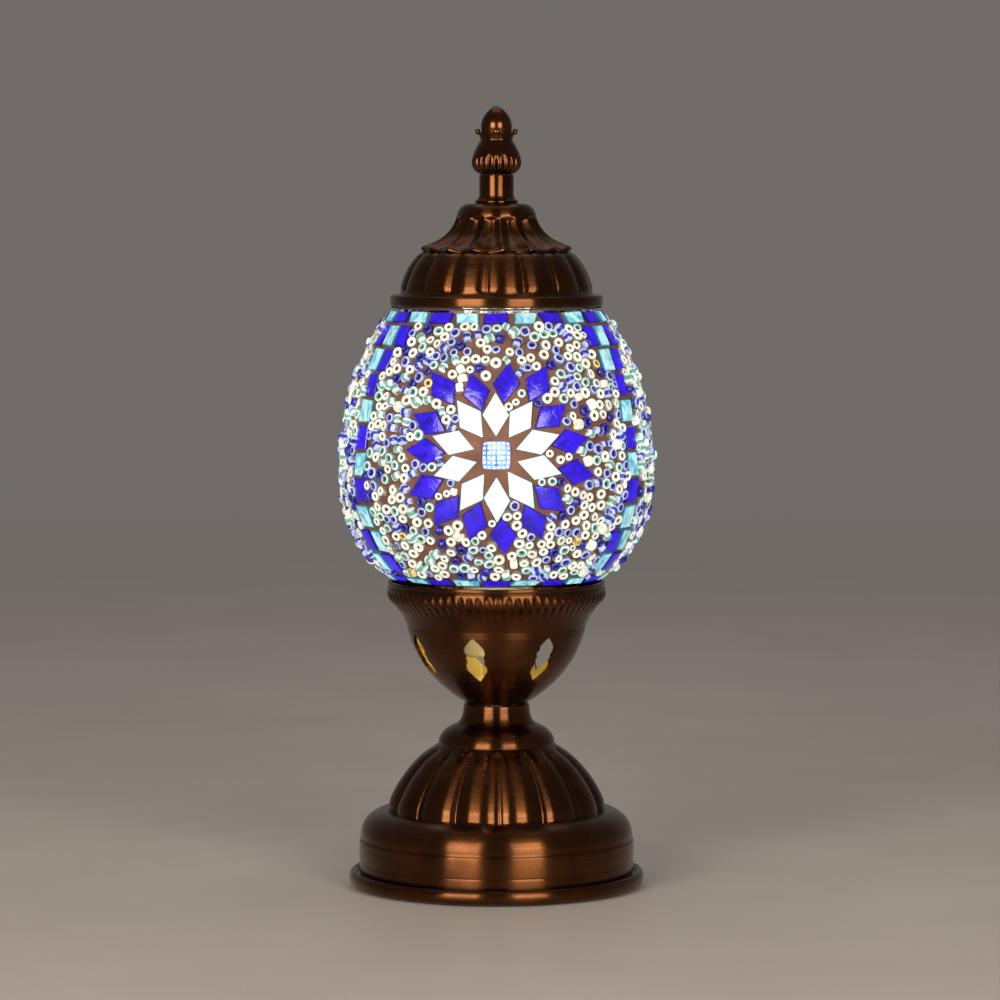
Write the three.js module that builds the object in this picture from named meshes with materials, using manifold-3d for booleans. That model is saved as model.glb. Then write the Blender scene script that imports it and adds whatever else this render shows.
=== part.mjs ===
// Cordless mosaic glass table lamp. Millimetres, +Z up, the front faces -Y.
// The origin is the centre of the base, on the table. Azimuths are in degrees
// from the front, positive towards +X.
import * as THREE from 'three';
import { mergeVertices } from 'three/addons/utils/BufferGeometryUtils.js';
import Module from 'manifold-3d';

const wasm = await Module();
wasm.setup();

// ---------- Driving sizes ----------

const gap = 0.3; // between pieces that touch
const sheet = 1.2; // wall of the spun and pressed metal parts

// Base plate: a dish with a rolled rim
const rimHeight = 5; // the rolled rim, bottom to top
const rimWidth = 3.2;
const rimClearance = 0.5; // rim to drum
const footProud = 0.8; // how far the feet lift the rim off the table
const plateThickness = 1;
const plateLift = 2.8; // underside of the plate above the bottom of the rim
const footRadius = 4.5;

// Base shell: drum, rounded shoulder, fluted dome, step and neck
const drumRadius = 51.2;
const drumHeight = 13.1;
const shoulderWidth = 8.2;
const shoulderHeight = 10.6;
const fluteHeight = 24.5;
const fluteDepth = 1.9;
const fluteCount = 15;
const fluteAzimuth = 1.5; // one valley between two flutes
const ledgeWidth = 2.7; // shoulder to the foot of the flutes
const stepRadius = 21.6;
const stepHeight = 7.3;
const cupRadius = 15.1;
const neckRadius = 12.3;
const neckHeight = 7.6;

// Gallery bowl, which carries the glass
const bowlFootRadius = 11.5;
const bowlBellyInset = 4.1; // belly inside the socket of the glass
const bowlBellyHeight = 28.5;
const bowlFlareHeight = 11.6; // belly to the bottom of the beaded rim
const bowlRimHeight = 5.6;
const bowlRimWall = 3.3; // rolled rim, outside the socket
const windowCount = 7;
const windowWidth = 7.9;
const windowHeight = 17.6;
const windowAzimuth = -15.5;
const ledgeDepth = 2.8; // width of the ledge that the seat ring lies on

// Glass shade and its mosaic
const shadeRadius = 59;
const shadeBottomRadius = 40.2;
const shadeTopRadius = 39.6;
const shadeBelly = 39.7; // widest level above the lower edge of the mosaic
const shadeHeight = 100.6; // the mosaic, lower edge to upper edge
const mosaicThickness = 3.1;
const glassWall = 2.2;
const lipLength = 7.2; // glass below the mosaic, inside the bowl
const collarLength = 4; // glass above the mosaic, inside the cap
const seatThickness = 1.5;
const seatClearance = 0.6;
const gemWidth = 11;
const gemCount = 3;
const gemHeight = 49.7; // centre of the medallions above the mosaic's lower edge

// Top cap
const capGasketThickness = 0.6;
const capRimInset = 0.2; // rim inside the edge of the mosaic
const capRimHeight = 3.9;
const capShelfHeight = 1.9;
const capShelfWidth = 3.8;
const capLobeHeight = 14.5;
const capStarRadius = 26.9;
const capStarHeight = 1.9;
const capSkirtHeight = 10.9;
const capTopRadius = 14.8;
const capShoulderHeight = 4.3;
const capFlatRadius = 10.4;
const capFlutes = 16;
const capFluteDepth = 1.1;
const capLobeAzimuth = -6; // one valley between two lobes

// Finial, its sleeve, and the stud that clamps the cap
const sleeveRadius = 6.4;
const sleeveBore = 5;
const sleeveLength = 10.4;
const collarRadius = 8.1;
const finialBulge = 9.6;
const finialWaist = 6.3;
const finialHeight = 25.5;
const leafReach = 7.5;
const leafCount = 4;
const insertRadius = 3.6;
const insertLength = 7;
const studRadius = 2; // M4
const bridgeWidth = 12;
const bridgeThickness = 1.5;
const nutFlats = 7; // M4 nut
const nutHeight = 3.2;

// Hollow threaded tube, M10, and its nuts
const tubeRadius = 4.9;
const tubeBore = 3.5;
const tubeNutWall = 2.1;
const tubeNutHeight = 4;
const washerClearance = 1.6; // to the inside of the neck

// Lampholder and bulb, E14
const holderRadius = 12.3;
const holderHeight = 40;
const holderFloor = 13; // solid foot of the lampholder
const holderWall = 1.8;
const holderLift = 17.5; // lampholder above the bottom of the bowl
const screwRadius = 6.8;
const screwLength = 18.5;
const tipHeight = 1.7;
const bulbRadius = 22.5;
const bulbHousingLength = 25;

// Batteries and their box, size AA
const cellRadius = 7.25;
const cellLength = 50.5;
const cellCount = 3;
const cellClearance = 0.7;
const springLength = 4.6;
const contactThickness = 0.6;
const boxWall = 1.5;
const doorThickness = 1.1;
const railLip = 2;
const railThickness = 0.8;

// Plate screws and their lugs
const screwShaft = 1.6;
const screwHead = 3.2;
const lugSize = 8;

// Power switch
const switchWidth = 14;
const switchDepth = 5.5;
const switchHeight = 7;
const switchTravel = 4;
const nubWidth = 3;
const nubHeight = 2.6;
const nubProud = 1.4;

// Wire
const wireRadius = 0.8;

// ---------- Levels, worked out from the sizes ----------

const plateBottom = footProud + plateLift;
const plateTop = plateBottom + plateThickness;
const drumBottom = plateTop + gap;
const shoulderBottom = drumBottom + drumHeight;
const fluteBottom = shoulderBottom + shoulderHeight;
const stepBottom = fluteBottom + fluteHeight;
const cupBottom = stepBottom + stepHeight;
const neckTop = cupBottom + neckHeight;
const bowlBottom = neckTop + gap;
const bellyLevel = bowlBottom + bowlBellyHeight;
const beadLevel = bellyLevel + bowlFlareHeight;
const bowlTop = beadLevel + bowlRimHeight;
const mosaicBottom = bowlTop + gap;
const mosaicTop = mosaicBottom + shadeHeight;
const beltLevel = mosaicBottom + shadeBelly;
const capBottom = mosaicTop + capGasketThickness + 2 * gap;
const capRimTop = capBottom + capRimHeight;
const capLobeBottom = capRimTop + capShelfHeight;
const capStarBottom = capLobeBottom + capLobeHeight;
const capSkirtBottom = capStarBottom + capStarHeight;
const capShoulderBottom = capSkirtBottom + capSkirtHeight;
const capTop = capShoulderBottom + capShoulderHeight;
const sleeveBottom = capTop + gap;
const sleeveTop = sleeveBottom + sleeveLength;
const finialBottom = sleeveTop + gap;
const insertBottom = finialBottom + 0.5;
const studTop = insertBottom + insertLength - 1;
const holderBottom = bowlBottom + holderLift;
const holderFloorTop = holderBottom + holderFloor;
const tipBottom = holderFloorTop + 3.2;
const bulbScrewBottom = tipBottom + tipHeight + gap;
const housingBottom = bulbScrewBottom + screwLength + gap;
const globeBottom = housingBottom + bulbHousingLength + gap;
const tubeTop = holderBottom + 6.4;
const tubeBottom = stepBottom - 2;

const lipRadius = shadeBottomRadius - mosaicThickness - gap;
const collarGlassRadius = shadeTopRadius - mosaicThickness - gap;
const socketRadius = lipRadius + seatClearance;
const lipBottom = mosaicBottom - lipLength;
const ledgeLevel = lipBottom - seatThickness - 2 * gap;
const fluteFootRadius = drumRadius - shoulderWidth - ledgeWidth;
const bowlRimRadius = socketRadius + bowlRimWall;
const bowlBellyRadius = socketRadius - bowlBellyInset;
const capRimRadius = shadeTopRadius - capRimInset;
const capLobeFootRadius = capRimRadius - capShelfWidth;
const tubeHole = tubeRadius + gap;
const tubeNutFlats = 2 * (tubeRadius + tubeNutWall);
const washerRadius = neckRadius - sheet - washerClearance;
const holderCavity = tubeHole + 1.2; // room for the wires above the tube
const cellPitch = 2 * cellRadius + cellClearance;

// ---------- Helpers ----------

const rad = THREE.MathUtils.degToRad;

function point(r, z) {
  return new THREE.Vector2(r, z);
}

// Curve from one profile point to the next; bowR and bowZ, from 0 to 1, say how
// far its control point lies along the run in radius and in height.
function sweep(from, to, bowR, bowZ, steps) {
  const r = THREE.MathUtils.lerp(from.x, to.x, bowR);
  const z = THREE.MathUtils.lerp(from.y, to.y, bowZ);
  return new THREE.QuadraticBezierCurve(from, point(r, z), to).getPoints(steps);
}

// The same outline moved inwards by the wall
function inset(outline, wall) {
  return outline.map((p, i) => {
    const before = outline[Math.max(i - 1, 0)];
    const after = outline[Math.min(i + 1, outline.length - 1)];
    const along = after.clone().sub(before).normalize();
    return point(p.x - along.y * wall, p.y + along.x * wall);
  });
}

function signedVolume(geometry) {
  const spot = geometry.attributes.position;
  const index = geometry.index.array;
  const [a, b, c] = [0, 1, 2].map(() => new THREE.Vector3());
  let volume = 0;
  for (let i = 0; i < index.length; i += 3) {
    a.fromBufferAttribute(spot, index[i]);
    b.fromBufferAttribute(spot, index[i + 1]);
    c.fromBufferAttribute(spot, index[i + 2]);
    volume += a.dot(b.cross(c)) / 6;
  }
  return volume;
}

// One closed surface with shared corners and its faces pointing out
function closed(geometry) {
  geometry.deleteAttribute('normal');
  geometry.deleteAttribute('uv');
  const merged = mergeVertices(geometry, 1e-4);
  const kept = [];
  const index = merged.index.array;
  for (let i = 0; i < index.length; i += 3) {
    const [a, b, c] = index.slice(i, i + 3);
    if (a !== b && b !== c && c !== a) kept.push(a, b, c);
  }
  merged.setIndex(kept);
  if (signedVolume(merged) < 0) {
    const order = merged.index.array;
    for (let i = 0; i < order.length; i += 3) [order[i], order[i + 1]] = [order[i + 1], order[i]];
  }
  merged.computeVertexNormals();
  return merged;
}

// Outline turned about Z; it closes on itself unless both ends lie on the axis
function turned(outline, sides, startAzimuth = 0) {
  const onAxis = outline[0].x < 1e-9 && outline.at(-1).x < 1e-9;
  const points = onAxis ? outline : [...outline, outline[0]];
  const geometry = new THREE.LatheGeometry(points, sides, rad(startAzimuth), Math.PI * 2);
  geometry.rotateX(Math.PI / 2);
  return closed(geometry);
}

function ring(inner, outer, bottom, top, sides) {
  return turned([point(inner, bottom), point(outer, bottom), point(outer, top), point(inner, top)], sides);
}

function rod(radius, bottom, top, sides) {
  return turned([point(0, bottom), point(radius, bottom), point(radius, top), point(0, top)], sides);
}

// Place across one flute: 0 in its middle, 1 at its edges
function acrossFlute(azimuth, count, edgeAzimuth) {
  const turns = ((azimuth - rad(edgeAzimuth)) * count) / (Math.PI * 2);
  return Math.abs(2 * (turns - Math.floor(turns)) - 1);
}

// Moves each point towards the axis by depth(z, azimuth)
function pressed(geometry, depth) {
  const spot = geometry.attributes.position;
  for (let i = 0; i < spot.count; i += 1) {
    const radius = Math.hypot(spot.getX(i), spot.getY(i));
    if (radius < 1e-6) continue;
    const azimuth = Math.atan2(spot.getX(i), -spot.getY(i));
    const scale = 1 - depth(spot.getZ(i), azimuth) / radius;
    spot.setXY(i, spot.getX(i) * scale, spot.getY(i) * scale);
  }
  geometry.computeVertexNormals();
  return geometry;
}

function block(width, depth, height, x, y, bottom) {
  const geometry = new THREE.BoxGeometry(width, depth, height);
  geometry.translate(x, y, bottom + height / 2);
  return closed(geometry);
}

function toSolid(geometry) {
  return new wasm.Manifold(new wasm.Mesh({
    numProp: 3,
    vertProperties: new Float32Array(geometry.attributes.position.array),
    triVerts: new Uint32Array(geometry.index.array),
  }));
}

function toGeometry(solid) {
  const mesh = solid.getMesh();
  const geometry = new THREE.BufferGeometry();
  geometry.setAttribute('position', new THREE.BufferAttribute(mesh.vertProperties, 3));
  geometry.setIndex(new THREE.BufferAttribute(mesh.triVerts, 1));
  geometry.computeVertexNormals();
  return geometry;
}

function cut(geometry, ...tools) {
  return toGeometry(tools.reduce((solid, tool) => solid.subtract(toSolid(tool)), toSolid(geometry)));
}

function joined(geometry, ...others) {
  return toGeometry(others.reduce((solid, other) => solid.add(toSolid(other)), toSolid(geometry)));
}

// Turns a geometry built at the front, on -Y, to its azimuth
function atAzimuth(geometry, azimuth) {
  geometry.rotateZ(rad(azimuth));
  return geometry;
}

function hexNut(flats, hole, bottom, height) {
  const body = rod(flats / Math.sqrt(3), bottom, bottom + height, 6);
  return cut(body, rod(hole, bottom - 1, bottom + height + 1, 12));
}

function wireAlong(points, radius, sides, steps) {
  const section = new THREE.Shape();
  for (let i = 0; i < sides; i += 1) {
    const turn = (i / sides) * Math.PI * 2;
    const [x, y] = [radius * Math.cos(turn), radius * Math.sin(turn)];
    if (i === 0) section.moveTo(x, y);
    else section.lineTo(x, y);
  }
  const path = points instanceof THREE.Curve ? points : new THREE.CatmullRomCurve3(points);
  return closed(new THREE.ExtrudeGeometry(section, { steps, bevelEnabled: false, extrudePath: path }));
}

// ---------- Materials ----------

const materials = {
  bronze: { color: 0x3a2114, roughness: 0.34, metalness: 1 },
  brass: { color: 0xb08d4a, roughness: 0.35, metalness: 1 },
  steel: { color: 0x9a9c9e, roughness: 0.4, metalness: 1 },
  glass: { color: 0xe8eef0, roughness: 0.1, metalness: 0, transparent: true, opacity: 0.4 },
  mosaic: { color: 0x8a4a34, roughness: 0.6, metalness: 0 },
  gem: { color: 0xe6dcd8, roughness: 0.1, metalness: 0 },
  rubber: { color: 0x1b1b1c, roughness: 0.8, metalness: 0 },
  silicone: { color: 0xd8d6d0, roughness: 0.6, metalness: 0 },
  plastic: { color: 0x141415, roughness: 0.5, metalness: 0 },
  ceramic: { color: 0xe9e3d4, roughness: 0.5, metalness: 0 },
  bulb: { color: 0xfaf8f2, roughness: 0.4, metalness: 0 },
  cell: { color: 0x2c5a3c, roughness: 0.4, metalness: 0 },
  redWire: { color: 0xa81c18, roughness: 0.5, metalness: 0 },
  blackWire: { color: 0x151515, roughness: 0.5, metalness: 0 },
};

const lamp = new THREE.Group();

function add(name, geometry, material) {
  const mesh = new THREE.Mesh(geometry, new THREE.MeshStandardMaterial(materials[material]));
  mesh.name = name;
  lamp.add(mesh);
}

// ---------- Base plate, feet, lugs and screws ----------

const rimCentre = drumRadius + rimClearance + rimWidth / 2;
const fixingRadius = drumRadius - sheet - lugSize / 2 - 0.8;
const screwAzimuths = [30, 150, 270]; // none in the way of the battery door
const footAzimuths = [90, 210, 330];

const bayLength = cellLength + springLength + contactThickness + 2;
const bayWidth = cellPitch * (cellCount - 1) + 2 * cellRadius + 1;

const plateSides = 36;

function basePlate() {
  const rim = new THREE.EllipseCurve(rimCentre, footProud + rimHeight / 2, rimWidth / 2, rimHeight / 2);
  const section = rim.getPoints(8).slice(0, -1);
  const bead = turned(section, plateSides);
  const disc = rod(rimCentre, plateBottom, plateTop, plateSides);
  const bay = block(bayLength, bayWidth, plateThickness + 2, 0, 0, plateBottom - 1);
  const holes = screwAzimuths.map((azimuth) => {
    const hole = rod(screwShaft + gap, plateBottom - 1, plateTop + 1, 10);
    hole.translate(0, -fixingRadius, 0);
    return atAzimuth(hole, azimuth);
  });
  return cut(joined(disc, bead), bay, ...holes);
}

function plateLug(azimuth) {
  const lug = block(lugSize, lugSize, lugSize * 0.75, 0, -fixingRadius, drumBottom);
  const hole = rod(screwShaft + gap, drumBottom - 1, drumBottom + lugSize, 10);
  hole.translate(0, -fixingRadius, 0);
  return atAzimuth(cut(lug, hole), azimuth);
}

function plateScrew(azimuth) {
  const headTop = plateBottom - gap;
  const screw = turned([
    point(0, headTop - 1.7),
    point(screwHead * 0.6, headTop - 1.7),
    point(screwHead, headTop - 0.6),
    point(screwHead, headTop),
    point(screwShaft, headTop),
    point(screwShaft, drumBottom + lugSize * 0.7),
    point(0, drumBottom + lugSize * 0.7 + 1),
  ], 10);
  screw.translate(0, -fixingRadius, 0);
  return atAzimuth(screw, azimuth);
}

function foot(azimuth) {
  const pad = turned([
    point(0, 0),
    point(footRadius - 0.5, 0),
    point(footRadius, 0.5),
    point(footRadius, plateBottom - gap),
    point(0, plateBottom - gap),
  ], 14);
  pad.translate(0, -fixingRadius, 0);
  return atAzimuth(pad, azimuth);
}

add('base_plate', basePlate(), 'bronze');
screwAzimuths.forEach((azimuth, i) => {
  add(`plate_lug_${i + 1}`, plateLug(azimuth), 'steel');
  add(`plate_screw_${i + 1}`, plateScrew(azimuth), 'steel');
});
footAzimuths.forEach((azimuth, i) => add(`rubber_foot_${i + 1}`, foot(azimuth), 'rubber'));

// ---------- Base shell ----------

const switchLevel = drumBottom + drumHeight / 2;
const switchSlot = switchTravel + nubWidth + 1;

function baseOutline(steps) {
  const drumEdge = point(drumRadius, shoulderBottom);
  const shoulderEnd = point(drumRadius - shoulderWidth, fluteBottom - 0.4);
  const fluteFoot = point(fluteFootRadius, fluteBottom);
  const stepFoot = point(stepRadius, stepBottom);
  const cupFoot = point(cupRadius, cupBottom);
  const neck = point(neckRadius, neckTop - 1.5);
  return [
    point(drumRadius, drumBottom),
    ...sweep(drumEdge, shoulderEnd, 0, 0.75, steps),
    ...sweep(fluteFoot, stepFoot, 0.23, 0.59, steps + 1),
    ...sweep(stepFoot, cupFoot, 0.1, 0.65, steps - 1).slice(1),
    ...sweep(cupFoot, neck, 0.9, 0.2, steps - 1).slice(1),
    point(neckRadius, neckTop),
  ];
}

function baseFluting(z, azimuth) {
  const rise = (z - fluteBottom) / fluteHeight;
  if (rise < -0.01 || rise > 0.97) return 0;
  const edge = acrossFlute(azimuth, fluteCount, fluteAzimuth) ** 2.4;
  return fluteDepth * (1 - 0.45 * rise) * edge;
}

function baseShell() {
  const outer = baseOutline(3);
  const inner = inset(baseOutline(2), sheet).slice(0, -1);
  inner[0].y = drumBottom;
  const roof = neckTop - sheet;
  const outline = [
    ...outer,
    point(tubeHole, neckTop),
    point(tubeHole, roof),
    point(neckRadius - sheet, roof),
    ...inner.reverse(),
  ];
  const shell = pressed(turned(outline, fluteCount * 3, fluteAzimuth), baseFluting);
  const slot = block(switchSlot, 6, nubHeight + 1, 0, drumRadius, switchLevel - nubHeight / 2 - 0.5);
  return cut(shell, slot);
}

add('base_shell', baseShell(), 'bronze');

// ---------- Battery box, cells, contacts and door ----------

const cellLevel = plateBottom + 0.4 + cellRadius;
const boxTop = cellLevel + cellRadius + gap + boxWall;
const cellRows = Array.from({ length: cellCount }, (_, i) => (i - (cellCount - 1) / 2) * cellPitch);

function batteryBox() {
  const height = boxTop - drumBottom;
  const outside = block(bayLength + 2 * boxWall, bayWidth + 2 * boxWall, height, 0, 0, drumBottom);
  const inside = block(bayLength, bayWidth, height - boxWall + 1, 0, 0, drumBottom - 1);
  const ribs = cellRows.slice(1).map((y) => (
    block(bayLength, 1.6, 2.4, 0, y - cellPitch / 2, boxTop - boxWall - 2.2)));
  return joined(cut(outside, inside), ...ribs);
}

// A cell lies along X; every second one points the other way.
function cell(y, facing) {
  const half = cellLength / 2;
  const body = turned([
    point(0, -half),
    point(cellRadius - 0.7, -half),
    point(cellRadius, -half + 0.5),
    point(cellRadius, half - 1.8),
    point(cellRadius - 0.8, half - 1.2),
    point(2.7, half - 1.2),
    point(2.7, half),
    point(0, half),
  ], 14);
  body.rotateY((facing * Math.PI) / 2);
  body.translate((facing * (springLength - contactThickness)) / 2, y, cellLevel);
  return body;
}

class ConeSpring extends THREE.Curve {
  getPoint(t) {
    const turn = t * 3 * Math.PI * 2;
    const radius = THREE.MathUtils.lerp(4.8, 2.6, t);
    return new THREE.Vector3(t * springLength * 0.8, radius * Math.cos(turn), radius * Math.sin(turn));
  }
}

function cellSpring(y, facing) {
  const spring = wireAlong(new ConeSpring(), 0.35, 5, 27);
  spring.translate(-bayLength / 2 + 0.6, 0, 0);
  if (facing < 0) spring.rotateZ(Math.PI);
  spring.translate(0, y, cellLevel);
  return spring;
}

function cellContact(y, facing) {
  const x = facing * (bayLength / 2 - gap - contactThickness / 2);
  return block(contactThickness, 8, 8, x, y, cellLevel - 4);
}

const doorLength = bayLength + 2 * boxWall;
const doorWidth = bayWidth + 2 * boxWall;
const doorTop = plateBottom - gap;
const doorBottom = doorTop - doorThickness;

function batteryDoor() {
  const grips = [0, 3, 6].map((step) => (
    block(1.2, 14, 1.1, -doorLength / 2 + 6 + step, 0, doorBottom - 0.6)));
  return joined(block(doorLength, doorWidth, doorThickness, 0, 0, doorBottom), ...grips);
}

function doorRail(side) {
  const lipTop = doorBottom - gap;
  const outerFace = doorWidth / 2 + gap + railThickness;
  const leg = block(
    doorLength * 0.8,
    railThickness,
    doorTop - lipTop + railThickness,
    0,
    side * (outerFace - railThickness / 2),
    lipTop - railThickness,
  );
  const lip = block(
    doorLength * 0.8,
    railLip + railThickness,
    railThickness,
    0,
    side * (outerFace - (railLip + railThickness) / 2),
    lipTop - railThickness,
  );
  return joined(leg, lip);
}

add('battery_box', batteryBox(), 'plastic');
cellRows.forEach((y, i) => {
  const facing = i % 2 === 0 ? 1 : -1;
  add(`battery_cell_${i + 1}`, cell(y, facing), 'cell');
  add(`cell_spring_${i + 1}`, cellSpring(y, facing), 'steel');
  add(`cell_contact_${i + 1}`, cellContact(y, facing), 'steel');
});
add('battery_door', batteryDoor(), 'plastic');
add('door_rail_left', doorRail(-1), 'steel');
add('door_rail_right', doorRail(1), 'steel');

// ---------- Power switch, in the back of the drum ----------

const switchFront = drumRadius - sheet - switchDepth - 1;

function switchBody() {
  const bottom = switchLevel - switchHeight / 2;
  const body = block(switchWidth, switchDepth, switchHeight, 0, switchFront + switchDepth / 2, bottom);
  const pocket = block(
    switchSlot + 1,
    switchDepth,
    nubHeight + 1.6,
    0,
    switchFront + switchDepth / 2 + 1.5,
    switchLevel - nubHeight / 2 - 0.8,
  );
  return cut(body, pocket);
}

// The nub stands at the end of its travel where the lamp is on.
function switchSlider() {
  const root = switchFront + 1.5 + gap;
  const length = drumRadius + nubProud - root;
  const x = switchTravel / 2;
  return block(nubWidth, length, nubHeight, x, root + length / 2, switchLevel - nubHeight / 2);
}

add('switch_body', switchBody(), 'plastic');
add('switch_slider', switchSlider(), 'plastic');

// ---------- Threaded tube with its nuts and washer ----------

const washerTop = neckTop - sheet - gap;
const washerBottom = washerTop - 1.2;
const bowlFloor = bowlBottom + sheet;

add('threaded_tube', ring(tubeBore, tubeRadius, tubeBottom, tubeTop, 16), 'brass');
add('lower_washer', ring(tubeHole, washerRadius, washerBottom, washerTop, 20), 'steel');
const lowerNutBottom = washerBottom - gap - tubeNutHeight;
add('lower_nut', hexNut(tubeNutFlats, tubeHole, lowerNutBottom, tubeNutHeight), 'brass');
add('upper_nut', hexNut(tubeNutFlats, tubeHole, bowlFloor + gap, tubeNutHeight), 'brass');

// ---------- Gallery bowl ----------

function bowlOutline(steps) {
  const foot = point(bowlFootRadius, bowlBottom);
  const belly = point(bowlBellyRadius, bellyLevel);
  const crease = point(bowlBellyRadius + 0.3, bellyLevel + 1.5);
  const bead = point(bowlRimRadius - 1.2, beadLevel - 1.8);
  return [
    ...sweep(foot, belly, 0.82, 0.375, steps),
    ...sweep(crease, bead, 0.3, 0.55, 2),
  ];
}

// Pointed leaf shape, cut straight through the wall
function bowlWindow(azimuth) {
  const half = windowWidth / 2;
  const tall = windowHeight / 2;
  const leaf = new THREE.Shape();
  leaf.moveTo(0, tall);
  leaf.quadraticCurveTo(half * 0.9, tall * 0.75, half, tall * 0.35);
  leaf.lineTo(half * 0.94, 0);
  leaf.lineTo(half, -tall * 0.5);
  leaf.lineTo(0, -tall);
  leaf.lineTo(-half, -tall * 0.5);
  leaf.lineTo(-half * 0.94, 0);
  leaf.lineTo(-half, tall * 0.35);
  leaf.quadraticCurveTo(-half * 0.9, tall * 0.75, 0, tall);
  const reach = bowlBellyRadius - bowlFootRadius + 8;
  const tool = new THREE.ExtrudeGeometry(leaf, { depth: reach, bevelEnabled: false, curveSegments: 2 });
  tool.rotateX(Math.PI / 2);
  const middle = bowlBottom + bowlBellyHeight * 0.64;
  tool.translate(0, -bowlFootRadius, middle);
  return atAzimuth(closed(tool), azimuth);
}

function galleryBowl() {
  const outer = bowlOutline(6);
  const inner = inset(bowlOutline(4), sheet).filter((p) => p.x > tubeHole + 2 && p.y > bowlFloor);
  const seatInner = socketRadius - ledgeDepth;
  const wallInner = inner.filter((p) => p.x < seatInner - 0.4);
  const outline = [
    ...outer,
    point(bowlRimRadius, beadLevel),
    point(bowlRimRadius, bowlTop - 1.2),
    point(bowlRimRadius - 0.6, bowlTop),
    point(socketRadius, bowlTop),
    point(socketRadius, ledgeLevel),
    point(seatInner, ledgeLevel),
    point(seatInner, ledgeLevel - 2.5),
    ...wallInner.reverse(),
    point(bowlFootRadius - sheet, bowlFloor),
    point(tubeHole, bowlFloor),
    point(tubeHole, bowlBottom),
  ];
  const windows = Array.from({ length: windowCount }, (_, i) => (
    bowlWindow(windowAzimuth + (i * 360) / windowCount)));
  return cut(turned(outline, windowCount * 5, windowAzimuth), ...windows);
}

add('gallery_bowl', galleryBowl(), 'bronze');
const seatBottom = ledgeLevel + gap;
const seatTop = seatBottom + seatThickness;
add('seat_ring', ring(lipRadius - glassWall, lipRadius, seatBottom, seatTop, 36), 'silicone');

// ---------- Lampholder ----------

function lampholder() {
  const inner = holderRadius - holderWall;
  return turned([
    point(tubeHole, holderBottom),
    point(holderRadius - 1, holderBottom),
    point(holderRadius, holderBottom + 1),
    point(holderRadius, holderBottom + holderHeight),
    point(inner, holderBottom + holderHeight),
    point(inner, holderFloorTop),
    point(holderCavity, holderFloorTop),
    point(holderCavity, tubeTop + gap),
    point(tubeHole, tubeTop + gap),
  ], 24);
}

const shellBore = screwRadius + 0.5;
const shellRadius = shellBore + 0.8;

function lampholderShell() {
  const bottom = holderFloorTop + gap;
  const top = bulbScrewBottom + screwLength - 1;
  const flange = holderCavity - 1.8;
  return turned([
    point(flange, bottom),
    point(shellRadius, bottom),
    point(shellRadius, top),
    point(shellBore, top),
    point(shellBore, bottom + 0.8),
    point(flange, bottom + 0.8),
  ], 24);
}

add('lampholder', lampholder(), 'ceramic');
add('lampholder_shell', lampholderShell(), 'brass');
add('lampholder_contact', rod(2.6, holderFloorTop + gap, tipBottom - gap, 10), 'brass');

// ---------- LED bulb ----------

function bulbHousing() {
  const waist = point(screwRadius + 2, housingBottom);
  const brim = point(bulbRadius * 0.93, housingBottom + bulbHousingLength);
  return turned([
    point(0, housingBottom),
    ...sweep(waist, brim, 0.35, 0.75, 4),
    point(0, housingBottom + bulbHousingLength),
  ], 20);
}

// Frosted globe: a thin ball, open where it meets the housing
function bulbGlobe() {
  const mouth = bulbRadius * 0.9;
  const centre = globeBottom + Math.sqrt(bulbRadius ** 2 - mouth ** 2);
  const start = Math.asin((globeBottom - centre) / bulbRadius);
  const outside = new THREE.EllipseCurve(0, centre, bulbRadius, bulbRadius, start, Math.PI / 2);
  const inside = new THREE.EllipseCurve(0, centre, bulbRadius - 1, bulbRadius - 1, start, Math.PI / 2);
  const innerPoints = inside.getPoints(5).reverse();
  innerPoints.at(-1).y = globeBottom;
  return turned([...clampedToAxis(outside.getPoints(6)), ...clampedToAxis(innerPoints)], 18);
}

function clampedToAxis(points) {
  return points.map((p) => point(Math.abs(p.x) < 1e-6 ? 0 : p.x, p.y));
}

add('bulb_globe', bulbGlobe(), 'bulb');
add('bulb_housing', bulbHousing(), 'bulb');
add('bulb_screw', rod(screwRadius, bulbScrewBottom, bulbScrewBottom + screwLength, 16), 'steel');
add('bulb_tip', rod(2.4, tipBottom, tipBottom + tipHeight, 10), 'brass');

// ---------- Wires, inside the base, the tube and the lampholder ----------

const wireOffset = 1.3;
const wireEnd = holderFloorTop - 0.4;

function wireUpTube(x, endX) {
  return [
    new THREE.Vector3(x, 0, tubeBottom - 2),
    new THREE.Vector3(x, 0, (tubeBottom + tubeTop) / 2),
    new THREE.Vector3(x, 0, tubeTop),
    new THREE.Vector3(endX, 0, wireEnd - 2),
    new THREE.Vector3(endX, 0, wireEnd),
  ];
}

const switchTerminal = switchFront - gap;

const switchWire = [
  new THREE.Vector3(4, switchTerminal, switchLevel),
  new THREE.Vector3(4, switchTerminal - 4, switchLevel + 1),
  new THREE.Vector3(3.4, switchTerminal - 9, boxTop + 7),
  new THREE.Vector3(2, 14, tubeBottom - 16),
  ...wireUpTube(wireOffset, wireOffset),
];

const batteryWire = [
  new THREE.Vector3(-9, bayWidth / 2 - 4, boxTop + gap),
  new THREE.Vector3(-9, bayWidth / 2 - 4, boxTop + 3),
  new THREE.Vector3(-7, bayWidth / 2 + 3, boxTop + 6),
  new THREE.Vector3(-4, switchTerminal - 8, boxTop - 1),
  new THREE.Vector3(-4, switchTerminal - 3, switchLevel),
  new THREE.Vector3(-4, switchTerminal, switchLevel),
];

const returnWire = [
  new THREE.Vector3(-14, -4, boxTop + gap),
  new THREE.Vector3(-14, -4, boxTop + 6),
  new THREE.Vector3(-8, -3, tubeBottom - 14),
  ...wireUpTube(-wireOffset, wireRadius + 0.1 - holderCavity),
];

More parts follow.
